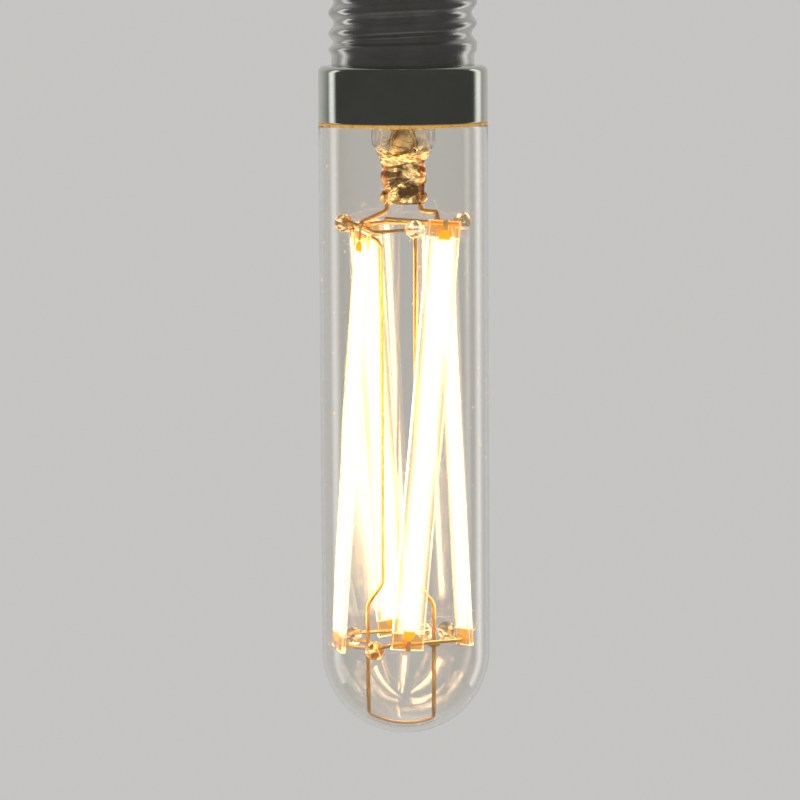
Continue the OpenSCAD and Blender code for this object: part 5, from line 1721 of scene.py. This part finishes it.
class LAMP_OT_driver_parts(LampOperator):
    """Make the capacitor, the choke with its winding and the resistor"""
    bl_idname = "lamp.driver_parts"
    bl_label = "Driver Parts"

    def execute(self, context):
        d = context.scene.lamp_driver
        tinned = tinned_lead(context.scene.lamp_finish)
        self.capacitor(d, tinned)
        self.choke(d)
        self.resistor(d, tinned)
        return {"FINISHED"}

    def capacitor(self, d, tinned):
        """An aluminium can in a shrunk sleeve, with a crimp and a scored vent."""
        r, high = d.capacitor_r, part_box("smoothing_capacitor")[1].z
        x, y = r + 0.9 * MM, FRONT_Y - MM - r
        low = high - d.capacitor_h
        profile = [(0.0, high - 0.2 * MM), (r - 0.8 * MM, high - 0.2 * MM),
                   (r - 0.6 * MM, high - 0.02 * MM), (r - 0.3 * MM, high),
                   (r - 0.08 * MM, high - 0.1 * MM), (r, high - 0.35 * MM), (r, low + 1.7 * MM)]
        profile += [(r - 0.35 * MM * math.sin(math.pi * i / 8), low + (1.6 - 0.1 * i) * MM)
                    for i in range(1, 8)]
        profile += [(r, low + 0.75 * MM), (r, low + 0.1 * MM), (r - 0.1 * MM, low), (0.0, low)]
        sleeve = surface("Dark Sleeve", (0.02, 0.025, 0.07), (0.03, 0.035, 0.10), scale=400.0,
                         roughness=0.3, spread=0.2, grain=2500.0, bump=0.02 * MM,
                         Coat_Weight=0.3)

        def vent(p):
            """Presses a cross into the can's end."""
            if p.z > high - 0.25 * MM and math.hypot(p.x, p.y) < r - 0.9 * MM:
                if min(abs(p.x), abs(p.y)) < 0.15 * MM:
                    p.z -= 0.12 * MM
            return p

        can = revolved("capacitor_can", profile, 72, closed=False, reshape=vent,
                       place=Matrix.Translation((x, y, 0)))
        can.data.materials.append(sleeve)
        pins = wire("capacitor_pins", [
            [Vector((x + a * MM, y, low)), Vector((x + a * MM, y, low - 0.8 * MM)),
             Vector((x + a * MM, FRONT_Y - SEAT, low - 0.8 * MM))] for a in (-1.25, 1.25)],
            0.25 * MM, 0.3 * MM, tinned, sides=12)
        fitted(merged("capacitor", [can, pins]), "capacitor_sleeve", "smoothing_capacitor")

    def choke(self, d):
        """A ferrite drum with its close-wound layer of enamelled wire."""
        r, h = d.choke_r, d.choke_h
        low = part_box("choke_core")[0].z
        x, y = -5.4 * MM, FRONT_Y - 1.2 * MM - r
        b = 0.12 * MM
        profile = [(0.0, low), (r - b, low), (r, low + b), (r, low + MM - b), (r - b, low + MM),
                   (r / 2, low + MM), (r / 2, low + h - MM), (r - b, low + h - MM),
                   (r, low + h - MM + b), (r, low + h - b), (r - b, low + h), (0.0, low + h)]
        ferrite = surface("Sintered Ferrite", (0.035, 0.035, 0.038), (0.06, 0.058, 0.056),
                          amount=0.7, scale=1200.0, roughness=0.55, spread=0.3, grain=8000.0,
                          bump=0.03 * MM)
        place = Matrix.Translation((x, y, 0))
        fitted(revolved("choke_drum", profile, 72, closed=False, place=place), "ferrite",
               "choke_core", material=ferrite)
        copper = surface("Enamelled Copper", (0.55, 0.20, 0.07), (0.42, 0.13, 0.04),
                         scale=900.0, roughness=0.25, spread=0.2, bump=0.006 * MM, Metallic=1.0)
        thick = (h - 2 * MM - 2 * SEAT) / (d.turns + 1) / 2
        start = Vector((x, y, low + MM + SEAT + thick))
        coil = grown("choke_coil", close_winding, scattered([start]), copper,
                     turns=float(d.turns), winding_radius=r - 0.3 * MM - thick,
                     height=2 * thick * d.turns, wire_radius=thick)
        tube = revolved("choke_under", [
            (r / 2 + SEAT, low + MM + SEAT), (r - 0.3 * MM - thick, low + MM + SEAT),
            (r - 0.3 * MM - thick, low + h - MM - SEAT), (r / 2 + SEAT, low + h - MM - SEAT)],
            48, place=place)
        tube.data.materials.append(copper)
        mid = low + h / 2
        tails = wire("choke_tails", [
            [Vector((x + a * MM, deep, mid)) for deep in (y + r - 1.2 * MM, FRONT_Y - SEAT)]
            for a in (-1.2, 1.2)], 0.15 * MM, 0.1 * MM, copper, sides=10)
        fitted(merged("choke_windings", [coil, tube, tails]), "copper_winding", "choke_winding")

    def resistor(self, d, tinned):
        """A coated resistor with swollen ends and its wire tails."""
        r, half = d.resistor_r, 2.6 * MM
        x, y, z = -5.6 * MM, FRONT_Y - 0.6 * MM - r, TAIL_Z
        steps = 26
        profile = []
        for i in range(steps + 1):
            t = -1 + 2 * i / steps
            cap = math.sqrt(max(0.0, 1 - max(0.0, (abs(t) - 0.86) / 0.14) ** 2))
            waist = 0.86 + 0.14 * ease((abs(t) - 0.5) / 0.25)
            profile.append((r * cap * waist, t * half))
        profile[0] = (0.0, -half)
        profile[-1] = (0.0, half)
        coat = surface("Flameproof Coat", (0.62, 0.50, 0.34), (0.52, 0.40, 0.26), amount=0.6,
                       scale=900.0, roughness=0.5, spread=0.2, grain=5000.0, bump=0.03 * MM)
        lying = Matrix.Translation((x, y, z)) @ Matrix.Rotation(math.pi / 2, 4, "Y")
        body = revolved("resistor_body", profile, 48, closed=False, place=lying)
        body.data.materials.append(coat)
        tails = wire("resistor_tails", [
            [Vector((x + a * half, y, z)), Vector((x + a * (half + 0.8 * MM), y, z)),
             Vector((x + a * (half + 0.8 * MM), FRONT_Y - SEAT, z))] for a in (-1, 1)],
            0.25 * MM, 0.2 * MM, tinned, sides=12)
        fitted(merged("resistor", [body, tails]), "resistor_coat", "fusible_resistor")


class LAMP_OT_hookup(LampOperator):
    """Run the insulated wires from the board to the contact and to the shell"""
    bl_idname = "lamp.hookup"
    bl_label = "Hook-up Wires"

    def execute(self, context):
        d = context.scene.lamp_driver
        c = context.scene.lamp_cap
        shank_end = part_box("centre_contact")[0].z
        red = surface("Red Insulation", (0.50, 0.03, 0.02), (0.38, 0.02, 0.015), scale=700.0,
                      spread=0.2)
        blue = surface("Blue Insulation", (0.03, 0.09, 0.42), (0.02, 0.06, 0.32), scale=700.0,
                       spread=0.2)
        to_contact = [upward(shank_end - SEAT), upward(TAIL_Z),
                      Vector((0, FRONT_Y - SEAT, TAIL_Z))]
        fitted(wire("hookup_contact", [to_contact], d.hookup_r, 0.3 * MM, red),
               "red_insulation", "contact_wire")
        at_skirt = -c.skirt_r + c.shell_wall + SEAT + d.hookup_r
        to_shell = [Vector((SHELL_PAD_X, FRONT_Y - SEAT, SHELL_PAD_Z)),
                    Vector((SHELL_PAD_X, FRONT_Y - 1.2 * MM, SHELL_PAD_Z)),
                    Vector((at_skirt, 0, SKIRT_TOP_Z - 0.4 * MM)),
                    Vector((at_skirt, 0, COLLAR_TOP_Z - 0.2 * MM))]
        fitted(wire("hookup_shell", [to_shell], d.hookup_r, 0.5 * MM, blue),
               "blue_insulation", "shell_wire")
        return {"FINISHED"}


# Stage

def seen_directly(t):
    """One where a ray comes from the camera, or from it by way of metal or glass."""
    path = t.node("ShaderNodeLightPath").outputs
    two = t.math("ADD", path["Is Camera Ray"], path["Is Glossy Ray"])
    return t.math("ADD", two, path["Is Transmission Ray"], clamp=True)


def mirrored_front(t, way, front):
    """A level that is one, but that sinks to the front's where metal or glass mirrors the
    room on the camera's side and beside the lamp. What is seen straight through the glass keeps
    the full level from all sides. The way is a direction from the lamp."""
    flat = t.node("ShaderNodeVectorMath", {0: way, 1: (1.0, 1.0, 0.0)}, operation="MULTIPLY")
    unit = t.node("ShaderNodeVectorMath", {0: flat}, operation="NORMALIZE")
    dim = t.ramp(t.axes(unit)["Y"], 0.25, 0.95, 1.0 - front, 0.0)
    depth = t.node("ShaderNodeLightPath").outputs["Glossy Depth"]
    mirrored = t.math("MINIMUM", depth, 1.0)
    return t.math("SUBTRACT", 1.0, t.math("MULTIPLY", dim, mirrored))


def soften_sides(data):
    """Lets an area light fade towards its two long sides, as a lamp behind a diffuser does."""
    data.use_nodes = True
    t = Maker(data.node_tree)
    place = t.node("ShaderNodeNewGeometry").outputs["Parametric"]
    off = t.math("ABSOLUTE", t.math("SUBTRACT", t.axes(place)["X"], 0.5))
    t.feed(t.tree.nodes["Emission"], {"Strength": t.ramp(off, 0.5, 0.05, 0.0, 1.8)})


def soft_light(name, aim, power, azimuth, elevation=0, distance=0.62, width=0.24, height=0.86):
    """An area light that looks at the lamp from an azimuth counted from the camera's side."""
    data = bpy.data.lights.new(name, "AREA")
    data.shape = "RECTANGLE"
    data.size = width
    data.size_y = height
    data.energy = power
    light = bpy.data.objects.new(name, data)
    way = around(azimuth, math.cos(math.radians(elevation)), math.sin(math.radians(elevation)))
    light.location = aim + way * distance
    light.rotation_euler = way.to_track_quat("Z", "Y").to_euler()
    light.visible_camera = False
    bpy.context.scene.collection.objects.link(light)
    return light


class LAMP_OT_stage(LampOperator):
    """Lay the floor, light it softly and set the camera"""
    bl_idname = "lamp.stage"
    bl_label = "Stage"

    def execute(self, context):
        scene = context.scene
        studio = scene.lamp_studio
        aim = Vector((studio.aim_x, 0, studio.aim_z))
        self.floor(studio)
        self.world(scene, studio)
        soften_sides(soft_light("side_light_left", aim, studio.side, -112).data)
        soften_sides(soft_light("side_light_right", aim, studio.side, 122, width=0.28).data)
        large = soft_light("large_light", aim, studio.key, -18, elevation=52, distance=1.0,
                           width=0.8, height=0.8)
        large.visible_glossy = False
        large.visible_transmission = False
        data = bpy.data.cameras.new("camera")
        data.lens = studio.lens
        data.sensor_width = 36.0
        data.clip_start = 0.01
        data.clip_end = 100.0
        camera = bpy.data.objects.new("camera", data)
        e = studio.elevation
        back = Vector((0, -math.cos(e), math.sin(e)))
        up = Vector((0, math.sin(e), math.cos(e)))
        right = Vector((1, 0, 0))
        c, s = math.cos(studio.roll), math.sin(studio.roll)
        turned = Matrix((c * right + s * up, c * up - s * right, back)).transposed().to_4x4()
        camera.matrix_world = Matrix.Translation(aim + back * studio.distance) @ turned
        scene.collection.objects.link(camera)
        scene.camera = camera
        scene.view_settings.view_transform = "Standard"
        return {"FINISHED"}

    def floor(self, studio):
        """A wide pale floor that keeps the lamp's shadow close by and is even far away."""
        bm = bmesh.new()
        z = DOME_END_Z - studio.floor_drop
        rings = [[bm.verts.new((0, 0, z))]]
        for r in (0.2, 0.5, 1, 2, 5, 20):
            rings.append([bm.verts.new((r * math.cos(a), r * math.sin(a), z))
                          for a in (2 * math.pi * i / 64 for i in range(64))])
        rings_to_faces(bm, rings, False)
        bmesh.ops.recalc_face_normals(bm, faces=bm.faces)
        mesh = bpy.data.meshes.new("floor")
        bm.to_mesh(mesh)
        bm.free()
        material, t, shader = new_material("Pale Floor", {
            "Base Color": studio.backdrop, "Roughness": 0.9, "Specular IOR Level": 0.1})
        place = t.place()
        away = t.node("ShaderNodeVectorMath", {0: place}, operation="LENGTH").outputs["Value"]
        far = t.ramp(away, 0.25, 0.75, 0.3, 1.0)
        even = t.node("ShaderNodeEmission", {
            "Color": studio.backdrop, "Strength": mirrored_front(t, place, studio.front)})
        t.blended(t.math("MULTIPLY", far, seen_directly(t)), shader, even)
        mesh.materials.append(material)
        new_object("floor", mesh)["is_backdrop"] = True

    def world(self, scene, studio):
        """Even light from all round, behind which the camera sees the pale backdrop."""
        scene.world = bpy.data.worlds.new("studio")
        scene.world.use_nodes = True
        t = Maker(scene.world.node_tree)
        even = t.feed(t.tree.nodes["Background"], {
            "Color": (1, 1, 1), "Strength": studio.ambience})
        way = t.node("ShaderNodeTexCoord").outputs["Generated"]
        pale = t.node("ShaderNodeBackground", {
            "Color": studio.backdrop, "Strength": mirrored_front(t, way, studio.front)})
        t.blended(seen_directly(t), even, pale, "World Output")


# Panel and registration

STEPS = (LAMP_OT_stage, LAMP_OT_envelope, LAMP_OT_stem, LAMP_OT_beads, LAMP_OT_collar,
         LAMP_OT_cap, LAMP_OT_cage, LAMP_OT_leads, LAMP_OT_strips, LAMP_OT_phosphor,
         LAMP_OT_clips, LAMP_OT_board, LAMP_OT_driver_parts, LAMP_OT_hookup)
GROUPS = {"lamp_glass": GlassSizes, "lamp_cage": CageSizes, "lamp_cap": CapSizes,
          "lamp_driver": DriverSizes, "lamp_finish": LampFinish, "lamp_studio": StudioSettings}


class LAMP_PT_steps(bpy.types.Panel):
    """Lists the steps that build the lamp"""
    bl_idname = "LAMP_PT_steps"
    bl_label = "Tubular Filament Lamp"
    bl_space_type = "VIEW_3D"
    bl_region_type = "UI"
    bl_category = "Lamp"

    def draw(self, context):
        column = self.layout.column(align=True)
        for step in STEPS:
            column.operator(step.bl_idname)
        for name in GROUPS:
            box = self.layout.box()
            settings = getattr(context.scene, name)
            for key in settings.__annotations__:
                box.prop(settings, key)


def register():
    """Adds the settings, the steps and the panel."""
    for group in GROUPS.values():
        bpy.utils.register_class(group)
    for name, group in GROUPS.items():
        setattr(bpy.types.Scene, name, PointerProperty(type=group))
    for step in STEPS:
        bpy.utils.register_class(step)
    bpy.utils.register_class(LAMP_PT_steps)


def unregister():
    """Takes away what register added."""
    bpy.utils.unregister_class(LAMP_PT_steps)
    for step in reversed(STEPS):
        bpy.utils.unregister_class(step)
    for name in GROUPS:
        delattr(bpy.types.Scene, name)
    for group in reversed(GROUPS.values()):
        bpy.utils.unregister_class(group)


def main():
    """Builds the whole lamp and gathers the two boxes of the construction model and of the
    finished pieces.
    """
    register()
    for step in STEPS:
        area, action = step.bl_idname.split(".")
        getattr(getattr(bpy.ops, area), action)()
    boxes = {"cad": [list(corner) for corner in CAD_BOX],
             "visual": [list(corner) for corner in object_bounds()]}


if __name__ == "__main__":
    main()
